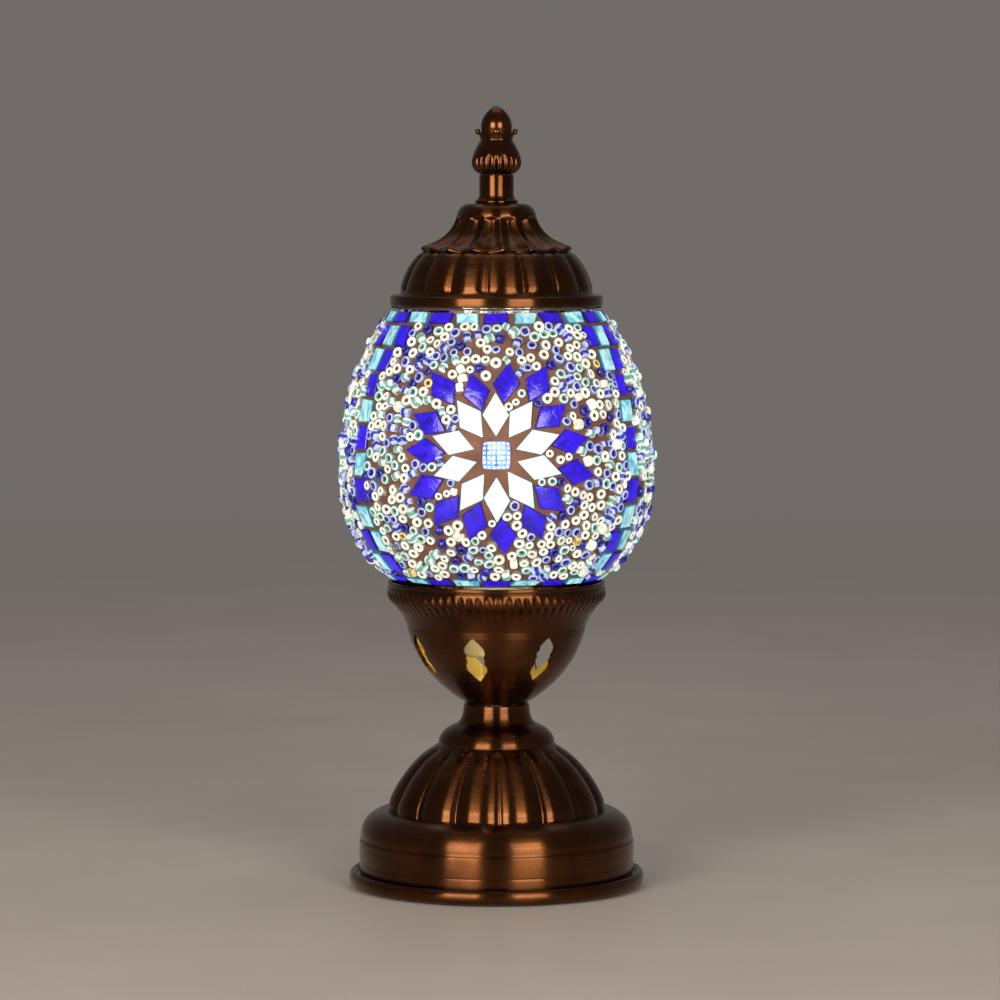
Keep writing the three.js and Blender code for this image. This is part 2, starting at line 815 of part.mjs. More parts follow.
add('wire_battery_to_switch', wireAlong(batteryWire, wireRadius, 6, 12), 'redWire');
add('wire_switch_to_lampholder', wireAlong(switchWire, wireRadius, 6, 20), 'redWire');
add('wire_battery_to_lampholder', wireAlong(returnWire, wireRadius, 6, 18), 'blackWire');

// ---------- Glass shade and mosaic ----------

// Egg shape: half an ellipse below the belt and a taller one above it
function eggRadius(z, inward) {
  const below = z < beltLevel;
  const end = below ? shadeBottomRadius : shadeTopRadius;
  const drop = below ? shadeBelly : shadeHeight - shadeBelly;
  const reach = drop / Math.sqrt(1 - (end / shadeRadius) ** 2);
  return shadeRadius * Math.sqrt(1 - ((z - beltLevel) / reach) ** 2) - inward;
}

const eggSteps = 8;
const eggSides = 36;

function eggOutline(inward) {
  return Array.from({ length: eggSteps + 1 }, (_, i) => {
    const ease = 0.5 - 0.5 * Math.cos((Math.PI * i) / eggSteps);
    const z = mosaicBottom + THREE.MathUtils.lerp(i / eggSteps, ease, 0.5) * shadeHeight;
    return point(eggRadius(z, inward), z);
  });
}

function gemAt(azimuth, clearance, back, front) {
  const gem = new THREE.CylinderGeometry(
    gemWidth * 0.45 + clearance,
    gemWidth * 0.7 + clearance,
    front - back,
    4,
  );
  gem.rotateY(Math.PI / 4);
  gem.rotateX(Math.PI);
  const level = mosaicBottom + gemHeight;
  gem.translate(0, -eggRadius(level, 0) - (front + back) / 2, level);
  return atAzimuth(closed(gem), azimuth);
}

const gemBack = -2.6;
const gemFront = -0.1;

function mosaicSkin() {
  const outline = [...eggOutline(0), ...eggOutline(mosaicThickness).reverse()];
  const pockets = Array.from({ length: gemCount }, (_, i) => (
    gemAt((i * 360) / gemCount, gap * 1.5, gemBack - gap, gemFront + 1.5)));
  return cut(turned(outline, eggSides), ...pockets);
}

function shadeGlass() {
  const inward = mosaicThickness + gap;
  const collarTop = mosaicTop + collarLength;
  const outline = [
    point(lipRadius, lipBottom),
    ...eggOutline(inward),
    point(collarGlassRadius, collarTop),
    point(collarGlassRadius - glassWall, collarTop),
    ...eggOutline(inward + glassWall).reverse(),
    point(lipRadius - glassWall, lipBottom),
  ];
  return turned(outline, eggSides);
}

add('shade_glass', shadeGlass(), 'glass');
add('mosaic_skin', mosaicSkin(), 'mosaic');
for (let i = 0; i < gemCount; i += 1) {
  add(`medallion_gem_${i + 1}`, gemAt((i * 360) / gemCount, 0, gemBack, gemFront), 'gem');
}

// ---------- Bridge bar, stud and nuts that hold the cap on the glass ----------

const bridgeTop = mosaicTop - 2;
const bridgeBottom = bridgeTop - bridgeThickness;
const bridgeReach = eggRadius(bridgeTop, mosaicThickness + glassWall + 3 * gap) - 0.6;
const studBottom = bridgeBottom - nutHeight - 1.5;
const studHole = studRadius + gap;

function bridgeBar() {
  const bar = block(2 * bridgeReach - 1.5, bridgeWidth, bridgeThickness, 0, 0, bridgeBottom);
  return cut(bar, rod(studHole, bridgeBottom - 1, bridgeTop + 1, 10));
}

add('bridge_bar', bridgeBar(), 'steel');
add('cap_stud', rod(studRadius, studBottom, studTop, 10), 'steel');
add('stud_nut_lower', hexNut(nutFlats, studHole, bridgeBottom - gap - nutHeight, nutHeight), 'steel');
add('stud_nut_upper', hexNut(nutFlats, studHole, bridgeTop + gap, nutHeight), 'steel');

// ---------- Top cap ----------

const capBore = studRadius + 0.6;

function capOutline(steps) {
  const rimShelf = point(capRimRadius - 0.4, capRimTop);
  const lobeFoot = point(capLobeFootRadius, capLobeBottom);
  const lobeTop = point(capStarRadius - 0.5, capStarBottom);
  const starTop = point(capStarRadius - 0.4, capSkirtBottom);
  const skirtTop = point(capTopRadius, capShoulderBottom);
  const flatEdge = point(capFlatRadius, capTop);
  return [
    point(capRimRadius, capBottom),
    rimShelf,
    ...sweep(lobeFoot, lobeTop, 0.26, 0.68, steps + 1),
    point(capStarRadius, capStarBottom + 0.2),
    ...sweep(starTop, skirtTop, 0.84, 0.3, steps),
    ...sweep(skirtTop, flatEdge, 0.2, 0.9, 2).slice(1),
  ];
}

// Convex lobes below the star edge and hollow flutes above it, half a pitch apart
function capFluting(z, azimuth) {
  const across = acrossFlute(azimuth, capFlutes, capLobeAzimuth);
  if (z > capBottom + capRimHeight + 0.5 && z < capStarBottom - 0.3) {
    return capFluteDepth * across ** 2.4;
  }
  const rise = (z - capStarBottom) / (capSkirtHeight + capStarHeight);
  if (rise < -0.01 || rise > 0.9) return 0;
  return capFluteDepth * 1.4 * (1 - rise) * across ** 2;
}

function topCap() {
  const outer = capOutline(3);
  const roof = capTop - sheet;
  const inner = inset(capOutline(2), sheet).filter((p) => p.y < roof - 0.2 && p.y > capRimTop);
  const outline = [
    ...outer,
    point(capBore, capTop),
    point(capBore, roof),
    point(capFlatRadius - 1, roof),
    ...inner.reverse(),
    point(capRimRadius - sheet, capRimTop - sheet),
    point(capRimRadius - sheet, capBottom),
  ];
  return pressed(turned(outline, capFlutes * 3, capLobeAzimuth), capFluting);
}

add('top_cap', topCap(), 'bronze');
const gasketBottom = mosaicTop + gap;
const gasketInner = collarGlassRadius + gap;
const gasketTop = gasketBottom + capGasketThickness;
add('cap_gasket', ring(gasketInner, capRimRadius - 0.5, gasketBottom, gasketTop, 36), 'rubber');

// ---------- Finial, its insert and its sleeve ----------

function finialSleeve() {
  const collarEdge = point(collarRadius - 0.4, sleeveBottom + 1.6);
  const collarTop = point(sleeveRadius, sleeveBottom + 3.4);
  return turned([
    point(sleeveBore, sleeveBottom),
    point(collarRadius, sleeveBottom),
    point(collarRadius, sleeveBottom + 1),
    ...sweep(collarEdge, collarTop, 0.9, 0.2, 3),
    point(sleeveRadius, sleeveTop),
    point(sleeveBore, sleeveTop),
  ], 20);
}

// Bulge, waist and pointed bud
function finialOutline() {
  const bulge = point(finialBulge, finialBottom + finialHeight * 0.19);
  const waist = point(finialWaist, finialBottom + finialHeight * 0.49);
  const bud = point(finialWaist - 0.1, finialBottom + finialHeight * 0.62);
  const tip = point(0, finialBottom + finialHeight);
  return [
    ...sweep(point(sleeveRadius + 0.2, finialBottom), bulge, 1, 0.45, 3),
    ...sweep(bulge, waist, 0.35, 0.5, 4).slice(1),
    bud,
    ...sweep(bud, tip, 0.1, 0.62, 5).slice(1),
  ];
}

function finialLeaf(azimuth) {
  const leaf = new THREE.SphereGeometry(1, 6, 4);
  leaf.scale(2.6, 1.5, 1.2);
  leaf.rotateX(rad(-25));
  leaf.translate(0, -(leafReach - 1.4), finialBottom + finialHeight * 0.63);
  return atAzimuth(closed(leaf), azimuth);
}

function finial() {
  const bore = insertRadius + gap;
  const boreTop = insertBottom + insertLength + gap;
  const body = turned([point(0, finialBottom), ...finialOutline()], 18);
  const leaves = Array.from({ length: leafCount }, (_, i) => finialLeaf((i * 360) / leafCount));
  return cut(joined(body, ...leaves), rod(bore, finialBottom - 1, boreTop, 14));
}

add('finial_sleeve', finialSleeve(), 'bronze');
add('finial', finial(), 'bronze');
const insertTop = insertBottom + insertLength;
add('finial_insert', ring(studHole, insertRadius, insertBottom, insertTop, 14), 'brass');

export default lamp;
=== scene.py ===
"""A lit mosaic glass lamp on a spun bronze base, in metres, +Z up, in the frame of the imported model."""
import math
import random

import bpy
import numpy as np
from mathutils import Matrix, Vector


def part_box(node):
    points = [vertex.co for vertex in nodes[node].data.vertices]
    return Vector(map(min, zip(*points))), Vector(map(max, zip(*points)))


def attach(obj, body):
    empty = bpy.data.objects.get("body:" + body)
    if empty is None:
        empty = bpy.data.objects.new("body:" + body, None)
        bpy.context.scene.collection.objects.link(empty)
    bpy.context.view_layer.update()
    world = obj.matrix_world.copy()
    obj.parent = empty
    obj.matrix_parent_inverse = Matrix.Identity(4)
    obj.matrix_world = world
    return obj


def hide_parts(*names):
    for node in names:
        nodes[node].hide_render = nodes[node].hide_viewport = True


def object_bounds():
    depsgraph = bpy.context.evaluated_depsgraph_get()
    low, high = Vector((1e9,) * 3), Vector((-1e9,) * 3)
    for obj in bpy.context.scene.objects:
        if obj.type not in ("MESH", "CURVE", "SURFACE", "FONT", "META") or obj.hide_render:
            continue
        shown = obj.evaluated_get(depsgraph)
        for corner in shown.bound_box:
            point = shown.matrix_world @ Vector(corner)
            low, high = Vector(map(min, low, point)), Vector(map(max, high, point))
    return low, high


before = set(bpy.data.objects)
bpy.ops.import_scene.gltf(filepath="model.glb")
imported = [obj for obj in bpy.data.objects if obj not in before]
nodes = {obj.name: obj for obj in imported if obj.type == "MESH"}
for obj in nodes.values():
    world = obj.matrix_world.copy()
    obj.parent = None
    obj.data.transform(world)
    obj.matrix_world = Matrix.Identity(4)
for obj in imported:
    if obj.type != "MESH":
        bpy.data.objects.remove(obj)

cad_low, cad_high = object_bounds()
MM = 0.001
CLOSING = 0.12 * MM  # how far each side of a tight joint closes up its gap
FULL_TURN = 2 * math.pi


# ---- camera, lights and floor

CAMERA_DISTANCE = 1.621
CAMERA_HEIGHT = 0.260
CAMERA_SIDE = 0.0013
CAMERA_PITCH = math.radians(4.1)
CAMERA_LENS = 157.5


def in_scene(name, data):
    """A new object of that data, linked into the scene."""
    made = bpy.data.objects.new(name, data)
    bpy.context.scene.collection.objects.link(made)
    return made


def make_camera():
    data = bpy.data.cameras.new("camera")
    data.lens = CAMERA_LENS
    data.sensor_width = 36
    camera = in_scene("camera", data)
    camera.location = (CAMERA_SIDE, -CAMERA_DISTANCE, CAMERA_HEIGHT)
    camera.rotation_euler = (math.pi / 2 - CAMERA_PITCH, 0, 0)
    bpy.context.scene.camera = camera


def softbox(name, azimuth, distance, height, width, tall, power, colour):
    """A rectangular light at an azimuth measured from the front, turned to face the lamp."""
    data = bpy.data.lights.new(name, "AREA")
    data.shape = "RECTANGLE"
    data.size = width
    data.size_y = tall
    data.energy = power
    data.color = colour
    light = in_scene(name, data)
    turn = math.radians(azimuth)
    light.location = (distance * math.sin(turn), -distance * math.cos(turn), height)
    aim = Vector((0, 0, 0.12)) - light.location
    light.rotation_euler = aim.to_track_quat("-Z", "Y").to_euler()


def make_lights():
    warm = (1.0, 0.90, 0.78)
    softbox("softbox_left", -28, 1.5, 0.40, 0.74, 1.0, 24.0, warm)
    softbox("softbox_right", 26, 1.5, 0.40, 0.68, 1.0, 18.0, warm)
    softbox("overhead", 180, 0.5, 1.6, 1.2, 1.2, 4.0, (1.0, 0.96, 0.92))
    world = bpy.data.worlds.new("studio")
    world.use_nodes = True
    background = world.node_tree.nodes["Background"]
    background.inputs["Color"].default_value = (0.165, 0.150, 0.140, 1)
    background.inputs["Strength"].default_value = 1.0
    bpy.context.scene.world = world
    bpy.context.scene.view_settings.view_transform = "Standard"


# ---- shader nodes

NOISE_LOW, NOISE_HIGH = 0.3, 0.7  # most values of a noise lie between these
RING_SLOPE = 0.37  # how far the marks of spinning climb for each metre outwards
RINGS_PER_METRE = 2600.0
UNLIT_GLASS = (0.01, 0.01, 0.015)


class Look:
    """A material being made. Most methods add one shader node and give back the socket that leaves it."""

    def __init__(self, name):
        self.material = bpy.data.materials.new(name)
        self.material.use_nodes = True
        self.tree = self.material.node_tree
        self.tree.nodes.clear()
        self.place = self.node("ShaderNodeTexCoord").outputs["Object"]

    def node(self, kind, inputs=None, **settings):
        """A node with its settings, and its inputs linked to sockets or set to values."""
        made = self.tree.nodes.new(kind)
        for key, value in settings.items():
            setattr(made, key, value)
        for key, value in (inputs or {}).items():
            if isinstance(value, bpy.types.NodeSocket):
                self.tree.links.new(value, made.inputs[key])
            else:
                made.inputs[key].default_value = value
        return made

    def maths(self, operation, first, second, third=0.0):
        inputs = {0: first, 1: second, 2: third}
        return self.node("ShaderNodeMath", inputs, operation=operation).outputs[0]

    def times(self, first, second):
        return self.maths("MULTIPLY", first, second)

    def noise(self, scale, detail=3.0, roughness=0.55, distortion=0.0, place=None):
        inputs = {"Vector": self.place if place is None else place, "Scale": scale, "Detail": detail,
                  "Roughness": roughness, "Distortion": distortion}
        return self.node("ShaderNodeTexNoise", inputs).outputs["Fac"]

    def ramp(self, factor, *stops):
        """A colour ramp through stops of (place, colour)."""
        made = self.node("ShaderNodeValToRGB", {"Fac": factor})
        elements = made.color_ramp.elements
        elements.remove(elements[-1])
        elements[0].position = stops[0][0]
        elements[0].color = (*stops[0][1], 1)
        for place, colour in stops[1:]:
            elements.new(place).color = (*colour, 1)
        return made.outputs["Color"]

    def spread(self, factor, low, high, from_low, from_high):
        """The factor carried from one range to another, and held inside it."""
        inputs = {"Value": factor, "From Min": from_low, "From Max": from_high, "To Min": low, "To Max": high}
        return self.node("ShaderNodeMapRange", inputs, clamp=True).outputs["Result"]

    def from_noise(self, factor, low, high):
        """A noise carried to a range."""
        return self.spread(factor, low, high, NOISE_LOW, NOISE_HIGH)

    def blend(self, factor, first, second):
        """The first colour, turning into the second as the factor rises."""
        inputs = {0: factor}
        for socket, colour in ((6, first), (7, second)):
            inputs[socket] = (*colour, 1) if isinstance(colour, tuple) else colour
        return self.node("ShaderNodeMix", inputs, data_type="RGBA").outputs[2]

    def bump(self, height, strength, distance, under=None):
        inputs = {"Height": height, "Strength": strength, "Distance": distance}
        if under is not None:
            inputs["Normal"] = under
        return self.node("ShaderNodeBump", inputs).outputs["Normal"]

    def attribute(self, name):
        return self.node("ShaderNodeAttribute", attribute_name=name).outputs["Fac"]

    def ring_place(self):
        """Coordinates that keep nearly the same value all round each turned ring."""
        x, y, z = self.node("ShaderNodeSeparateXYZ", {0: self.place}).outputs
        flat = self.node("ShaderNodeCombineXYZ", {0: x, 1: y}).outputs[0]
        radius = self.node("ShaderNodeVectorMath", {0: flat}, operation="LENGTH").outputs["Value"]
        around = self.node("ShaderNodeVectorMath", {0: flat}, operation="NORMALIZE").outputs[0]
        turn = self.node("ShaderNodeSeparateXYZ", {0: around}).outputs
        along = self.times(self.maths("MULTIPLY_ADD", radius, RING_SLOPE, z), RINGS_PER_METRE)
        return self.node("ShaderNodeCombineXYZ", {0: turn[0], 1: turn[1], 2: along}).outputs[0]

    def end_with(self, shader):
        output = self.node("ShaderNodeOutputMaterial")
        self.tree.links.new(shader.outputs[0], output.inputs["Surface"])
        return self.material

    def finish(self, **inputs):
        """Ends in a principled shader. Its inputs are given in lower case, with underscores for spaces."""
        named = {key.replace("_", " ").title(): value for key, value in inputs.items()}
        return self.end_with(self.node("ShaderNodeBsdfPrincipled", named))


# ---- metals

def spun_metal(name, light_tone, dark_tone, smooth, rough, anisotropic, line_depth):
    """Metal polished in a lathe: fine rings, cloudy lacquer and edges rubbed lighter."""
    look = Look(name)
    rings = look.noise(1.0, 2.0, 0.6, place=look.ring_place())
    clouds = look.noise(42.0, 4.0, 0.6)
    specks = look.noise(900.0, 2.0, 0.6)
    worn = look.node("ShaderNodeNewGeometry").outputs["Pointiness"]
    rubbed = look.spread(worn, 0.0, 1.0, 0.51, 0.60)
    lacquer = look.ramp(clouds, (0.30, dark_tone), (0.62, light_tone))
    streaked = look.blend(look.spread(rings, 0.0, 0.45, 0.35, 0.75), lacquer, dark_tone)
    bright = tuple(min(1.0, 1.55 * part) for part in light_tone)
    colour = look.blend(look.times(rubbed, 0.6), streaked, bright)
    roughness = look.from_noise(rings, smooth, rough)
    speckled = look.maths("MULTIPLY_ADD", look.spread(specks, 0.0, 1.0, 0.62, 0.75), 0.12, roughness)
    relief = look.bump(clouds, 0.06, 0.0006, look.bump(rings, line_depth, 0.00006))
    tangent = look.node("ShaderNodeTangent", direction_type="RADIAL", axis="Z").outputs[0]
    return look.finish(base_color=colour, metallic=1.0, roughness=speckled, anisotropic=anisotropic,
                       anisotropic_rotation=0.25, tangent=tangent, normal=relief,
                       coat_weight=0.06, coat_roughness=0.10)


def plain_metal(name, light_tone, dark_tone, smooth, rough, grain):
    """Small turned or pressed metal parts: plating with stains and fine scratches."""
    look = Look(name)
    stains = look.noise(160.0, 4.0, 0.6)
    scratches = look.noise(1.0, 2.0, 0.6, place=look.ring_place())
    return look.finish(base_color=look.ramp(stains, (0.32, dark_tone), (0.66, light_tone)), metallic=1.0,
                       roughness=look.from_noise(stains, smooth, rough),
                       normal=look.bump(scratches, grain, 0.00005))


# ---- plastics, rubber and ceramic

def moulded(name, light_tone, dark_tone, smooth, rough, grain_scale, grain_depth):
    look = Look(name)
    colour = look.ramp(look.noise(90.0), (0.3, dark_tone), (0.7, light_tone))
    grain = look.noise(grain_scale, 3.0, 0.6)
    return look.finish(base_color=colour, roughness=look.from_noise(grain, smooth, rough),
                       normal=look.bump(grain, grain_depth, 0.0002))


def wrapped_cell(name):
    """A battery cell in a film sleeve with plain bands."""
    look = Look(name)
    x = look.node("ShaderNodeSeparateXYZ", {0: look.place}).outputs[0]
    scuffs = look.noise(420.0)
    band = look.spread(x, 0.0, 1.0, 0.0100, 0.0102)
    colour = look.blend(band, (0.04, 0.05, 0.06), (0.55, 0.32, 0.08))
    faded = look.blend(look.spread(scuffs, 0.0, 0.3, 0.45, 0.8), colour, (0.25, 0.22, 0.18))
    return look.finish(base_color=faded, roughness=look.from_noise(scuffs, 0.22, 0.45),
                       coat_weight=0.5, coat_roughness=0.15, normal=look.bump(scuffs, 0.1, 0.0002))


# ---- glass

def thin_clear_glass(name):
    """Blown glass that light passes straight through, with a gloss on its face."""
    look = Look(name)
    relief = look.bump(look.noise(60.0, 2.0), 0.15, 0.001)
    gloss = look.node("ShaderNodeBsdfGlossy",
                      {"Color": (0.9, 0.95, 0.95, 1), "Roughness": 0.05, "Normal": relief}).outputs[0]
    clear = look.node("ShaderNodeBsdfTransparent", {"Color": (0.94, 0.97, 0.97, 1)}).outputs[0]
    edge = look.node("ShaderNodeFresnel", {"IOR": 1.45, "Normal": relief}).outputs[0]
    return look.end_with(look.node("ShaderNodeMixShader", {0: edge, 1: clear, 2: gloss}))


def lit_glass_tile(name, pale, deep, strength, streak_scale):
    """Cut sheet glass in a painted glow: streaks drawn in the sheet, small seeds and painted shade on the
    ground edge.
    """
    look = Look(name)
    streaks = look.noise(streak_scale, 3.0, 0.6, 2.4)
    seeded = look.spread(look.noise(1300.0, 1.0, 0.5), 1.0, 1.35, 0.70, 0.78)
    # face is 1 on the tile's top and lower down the bevel and sides, where it dims the painted glow as
    # painted shade
    face = look.attribute("face")
    glow = look.times(look.attribute("glow"), face)
    shine = look.times(look.times(glow, seeded), strength)
    colour = look.ramp(streaks, (0.32, deep), (0.58, pale))
    # painted shade: the bevel and sides turn to the deep colour
    lit = look.blend(look.spread(face, 1.0, 0.0, 0.5, 0.95), colour, deep)
    return look.finish(base_color=look.blend(0.8, lit, UNLIT_GLASS), emission_color=lit,
                       emission_strength=shine, roughness=look.from_noise(streaks, 0.10, 0.22),
                       normal=look.bump(streaks, 0.35, 0.0006), coat_weight=0.1, coat_roughness=0.06)


def lit_bead(name, hole_tone, lining_tone, body_tone, strength):
    """A rounded glass bead lit from behind: a dark hole, a coloured lining and a paler body."""
    look = Look(name)
    clouds = look.noise(520.0, 2.0, 0.5)
    waves = look.spread(clouds, -1.0, 1.0, 0.2, 0.8)
    depth = look.maths("MULTIPLY_ADD", waves, 0.10, look.attribute("lining"))
    # The outer rim of each bead is darkened as painted shade.
    shaded = tuple(0.16 * part for part in body_tone)
    colour = look.ramp(depth, (0.05, hole_tone), (0.17, lining_tone), (0.40, lining_tone),
                       (0.54, body_tone), (0.76, body_tone), (0.97, shaded))
    return look.finish(base_color=look.blend(0.8, colour, UNLIT_GLASS), emission_color=colour,
                       emission_strength=look.times(look.attribute("glow"), strength),
                       roughness=look.from_noise(clouds, 0.14, 0.26), normal=look.bump(clouds, 0.12, 0.0003),
                       coat_weight=0.15, coat_roughness=0.08)


def lit_grout(name):
    """Gritty reddish-brown grout with a little light coming through it."""
    look = Look(name)
    grit = look.noise(1500.0, 4.0, 0.65)
    colour = look.ramp(look.noise(120.0), (0.3, (0.075, 0.028, 0.016)), (0.7, (0.14, 0.060, 0.034)))
    sandy = look.blend(look.spread(grit, 0.0, 0.5, 0.45, 0.7), colour, (0.17, 0.09, 0.055))
    return look.finish(base_color=sandy, emission_color=sandy,
                       emission_strength=look.times(look.attribute("glow"), 0.30),
                       roughness=look.from_noise(grit, 0.7, 0.95), normal=look.bump(grit, 0.5, 0.0004))


def lit_gem(name):
    """A faceted glass stone: blue, with the light gathered at the point of each facet."""
    look = Look(name)
    shimmer = look.noise(240.0, 2.0, 0.5, 1.5)
    body = look.ramp(shimmer, (0.34, (0.05, 0.12, 0.62)), (0.50, (0.20, 0.38, 0.92)),
                     (0.64, (0.34, 0.36, 0.95)), (0.72, (0.25, 0.66, 0.95)))
    tip = look.attribute("tip")
    colour = look.blend(look.spread(tip, 0.0, 1.0, 0.35, 0.85), body, (0.80, 0.96, 1.0))
    shine = look.times(look.spread(tip, 0.40, 1.15, 0.1, 0.8), look.attribute("glow"))
    return look.finish(base_color=colour, emission_color=colour, emission_strength=shine,
                       roughness=look.from_noise(shimmer, 0.03, 0.08),
                       normal=look.bump(shimmer, 0.05, 0.0003), coat_weight=1.0, coat_roughness=0.02)


def lit_globe(name):
    """The frosted cover of a lit bulb."""
    look = Look(name)
    frost = look.noise(700.0)
    return look.finish(base_color=(0.9, 0.9, 0.88, 1), emission_color=(1.0, 0.94, 0.84, 1),
                       emission_strength=look.from_noise(frost, 20.0, 25.0),
                       roughness=look.from_noise(frost, 0.35, 0.6), normal=look.bump(frost, 0.1, 0.0002))


# ---- floor

def floor_material():
    """A pale matt floor that fades into the backdrop far from the lamp."""
    look = Look("floor")
    colour = look.ramp(look.noise(9.0), (0.3, (0.47, 0.43, 0.40)), (0.7, (0.52, 0.48, 0.45)))
    grain = look.noise(600.0, 2.0)
    surface = look.node("ShaderNodeBsdfPrincipled",
                        {"Base Color": colour, "Roughness": look.from_noise(grain, 0.42, 0.55),
                         "Normal": look.bump(grain, 0.05, 0.0003)}).outputs[0]
    clear = look.node("ShaderNodeBsdfTransparent").outputs[0]
    away = look.node("ShaderNodeVectorMath", {0: look.place}, operation="LENGTH").outputs["Value"]
    fade = look.node("ShaderNodeMapRange", {"Value": away, "From Min": 0.5, "From Max": 2.0},
                     interpolation_type="SMOOTHSTEP").outputs["Result"]
    return look.end_with(look.node("ShaderNodeMixShader", {0: fade, 1: surface, 2: clear}))


def make_floor():
    half = 2.5
    corners = [(-half, -half, 0), (half, -half, 0), (half, half, 0), (-half, half, 0)]
    mesh = bpy.data.meshes.new("floor")
    mesh.from_pydata(corners, [], [(0, 1, 2, 3)])
    floor = in_scene("floor", mesh)
    floor.location.z = cad_low.z - 0.0002
    mesh.materials.append(floor_material())


# ---- shapes

def place_at(radius, azimuth, height):
    """A point at an azimuth measured from the front of the lamp, towards +X."""
    return (radius * math.sin(azimuth), -radius * math.cos(azimuth), height)


def bowed(start, end, radial, vertical, steps):
    """Points after start up to end, on a curve pulled to a corner at those shares of its run."""
    r0, z0 = start
    r1, z1 = end
    rc, zc = r0 + (r1 - r0) * radial, z0 + (z1 - z0) * vertical
    points = []
    for step in range(1, steps + 1):
        t = step / steps
        a, b, c = (1 - t) ** 2, 2 * t * (1 - t), t * t
        points.append((a * r0 + b * rc + c * r1, a * z0 + b * zc + c * z1))
    return points


def rounded(points, radius, steps=4):
    """An open outline with each inner corner cut back and rounded."""
    made = [points[0]]
    for before, corner, after in zip(points, points[1:], points[2:]):
        back = Vector(before) - Vector(corner)
        on = Vector(after) - Vector(corner)
        reach = min(radius, 0.45 * back.length, 0.45 * on.length)
        first = Vector(corner) + back.normalized() * reach
        last = Vector(corner) + on.normalized() * reach
        for step in range(steps + 1):
            t = step / steps
            made.append(tuple(first * (1 - t) ** 2 + Vector(corner) * 2 * t * (1 - t) + last * t * t))
    made.append(points[-1])
    return made


def walled(outer, wall):
    """A closed outline: the outer points up, then the same points set inwards by the wall, down."""
    inner = []
    for number, point in enumerate(outer):
        before = Vector(outer[max(number - 1, 0)])
        after = Vector(outer[min(number + 1, len(outer) - 1)])
        run = after - before
        side = Vector((-run.y, run.x)).normalized()
        inner.append(tuple(Vector(point) + side * wall))
    return list(outer) + inner[::-1]


def new_piece(name, vertices, faces, body, materials, replaced=(), sharp=35.0, values=None):
    """A smooth-shaded mesh that rides on a body and stands in for CAD nodes."""
    mesh = bpy.data.meshes.new(name)
    mesh.from_pydata(vertices, [], faces)
    for material in materials:
        mesh.materials.append(material)
    for key, numbers in (values or {}).items():
        layer = mesh.attributes.new(key, "FLOAT", "POINT")
        layer.data.foreach_set("value", np.asarray(numbers, np.float32))
    mesh.validate()
    mesh.polygons.foreach_set("use_smooth", [True] * len(mesh.polygons))
    mesh.set_sharp_from_angle(angle=math.radians(sharp))
    piece = in_scene(name, mesh)
    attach(piece, body)
    if replaced:
        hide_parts(*replaced)
    return piece


def tube_faces(rings, count, turned=False):
    """Quads between rings of points, where the last ring joins the first and each ring closes."""
    faces = []
    for ring in range(rings):
        here, there = ring * count, (ring + 1) % rings * count
        for number in range(count):
            after = (number + 1) % count
            a, b, c, d = here + number, there + number, there + after, here + after
            faces.append((a, d, c, b) if turned else (a, b, c, d))
    return faces


def stacked_faces(layers, count):
    """Quads between closed rings of points that are stacked one over another."""
    faces = []
    for layer in range(layers):
        for number in range(count):
            a, b = layer * count + number, layer * count + (number + 1) % count
            faces.append((a, b, b + count, a + count))
    return faces


def spun(outline, sides, change=None):
    """Vertices and faces of a closed outline turned about the axis.

    change(point number, radius, height, azimuth) gives a point its own radius and height.
    """
    vertices = []
    for side in range(sides):
        azimuth = FULL_TURN * side / sides
        for number, (radius, height) in enumerate(outline):
            if change:
                radius, height = change(number, radius, height, azimuth)
            vertices.append(place_at(radius, azimuth, height))
    return vertices, tube_faces(sides, len(outline))


def across(azimuth, count, valley):
    """Where an azimuth lies between two valleys of a repeated lobe, from -1 to 1, with 0 on the crest."""
    turn = (azimuth - valley) * count / FULL_TURN
    return 2 * (turn - math.floor(turn)) - 1


def lobe_drop(share):
    """How far a rounded lobe has fallen from its crest, from 0 to 1 in the narrow valley."""
    tight = 0.975
    return (1 - math.sqrt(1 - (tight * share) ** 2)) / (1 - math.sqrt(1 - tight ** 2))


def smooth_step(value, low, high):
    t = min(max((value - low) / (high - low), 0.0), 1.0)
    return t * t * (3 - 2 * t)


# ---- base

base_low, base_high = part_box("base_shell")
drum_radius = base_high.x
drum_bottom = base_low.z
neck_top = base_high.z + CLOSING
sheet = 1.2 * MM
shoulder_bottom = drum_bottom + 13.1 * MM
shoulder_top = drum_bottom + 23.3 * MM
flute_bottom = drum_bottom + 23.7 * MM
flute_top = drum_bottom + 48.2 * MM
cup_bottom = drum_bottom + 55.5 * MM
ledge_radius = drum_radius - 8.2 * MM
flute_foot_radius = ledge_radius - 2.3 * MM
step_radius = 21.6 * MM
cup_radius = 15.1 * MM
neck_radius = 12.3 * MM
flute_depth = 2.1 * MM
FLUTE_COUNT = 15
FLUTE_VALLEY = math.radians(1.5)


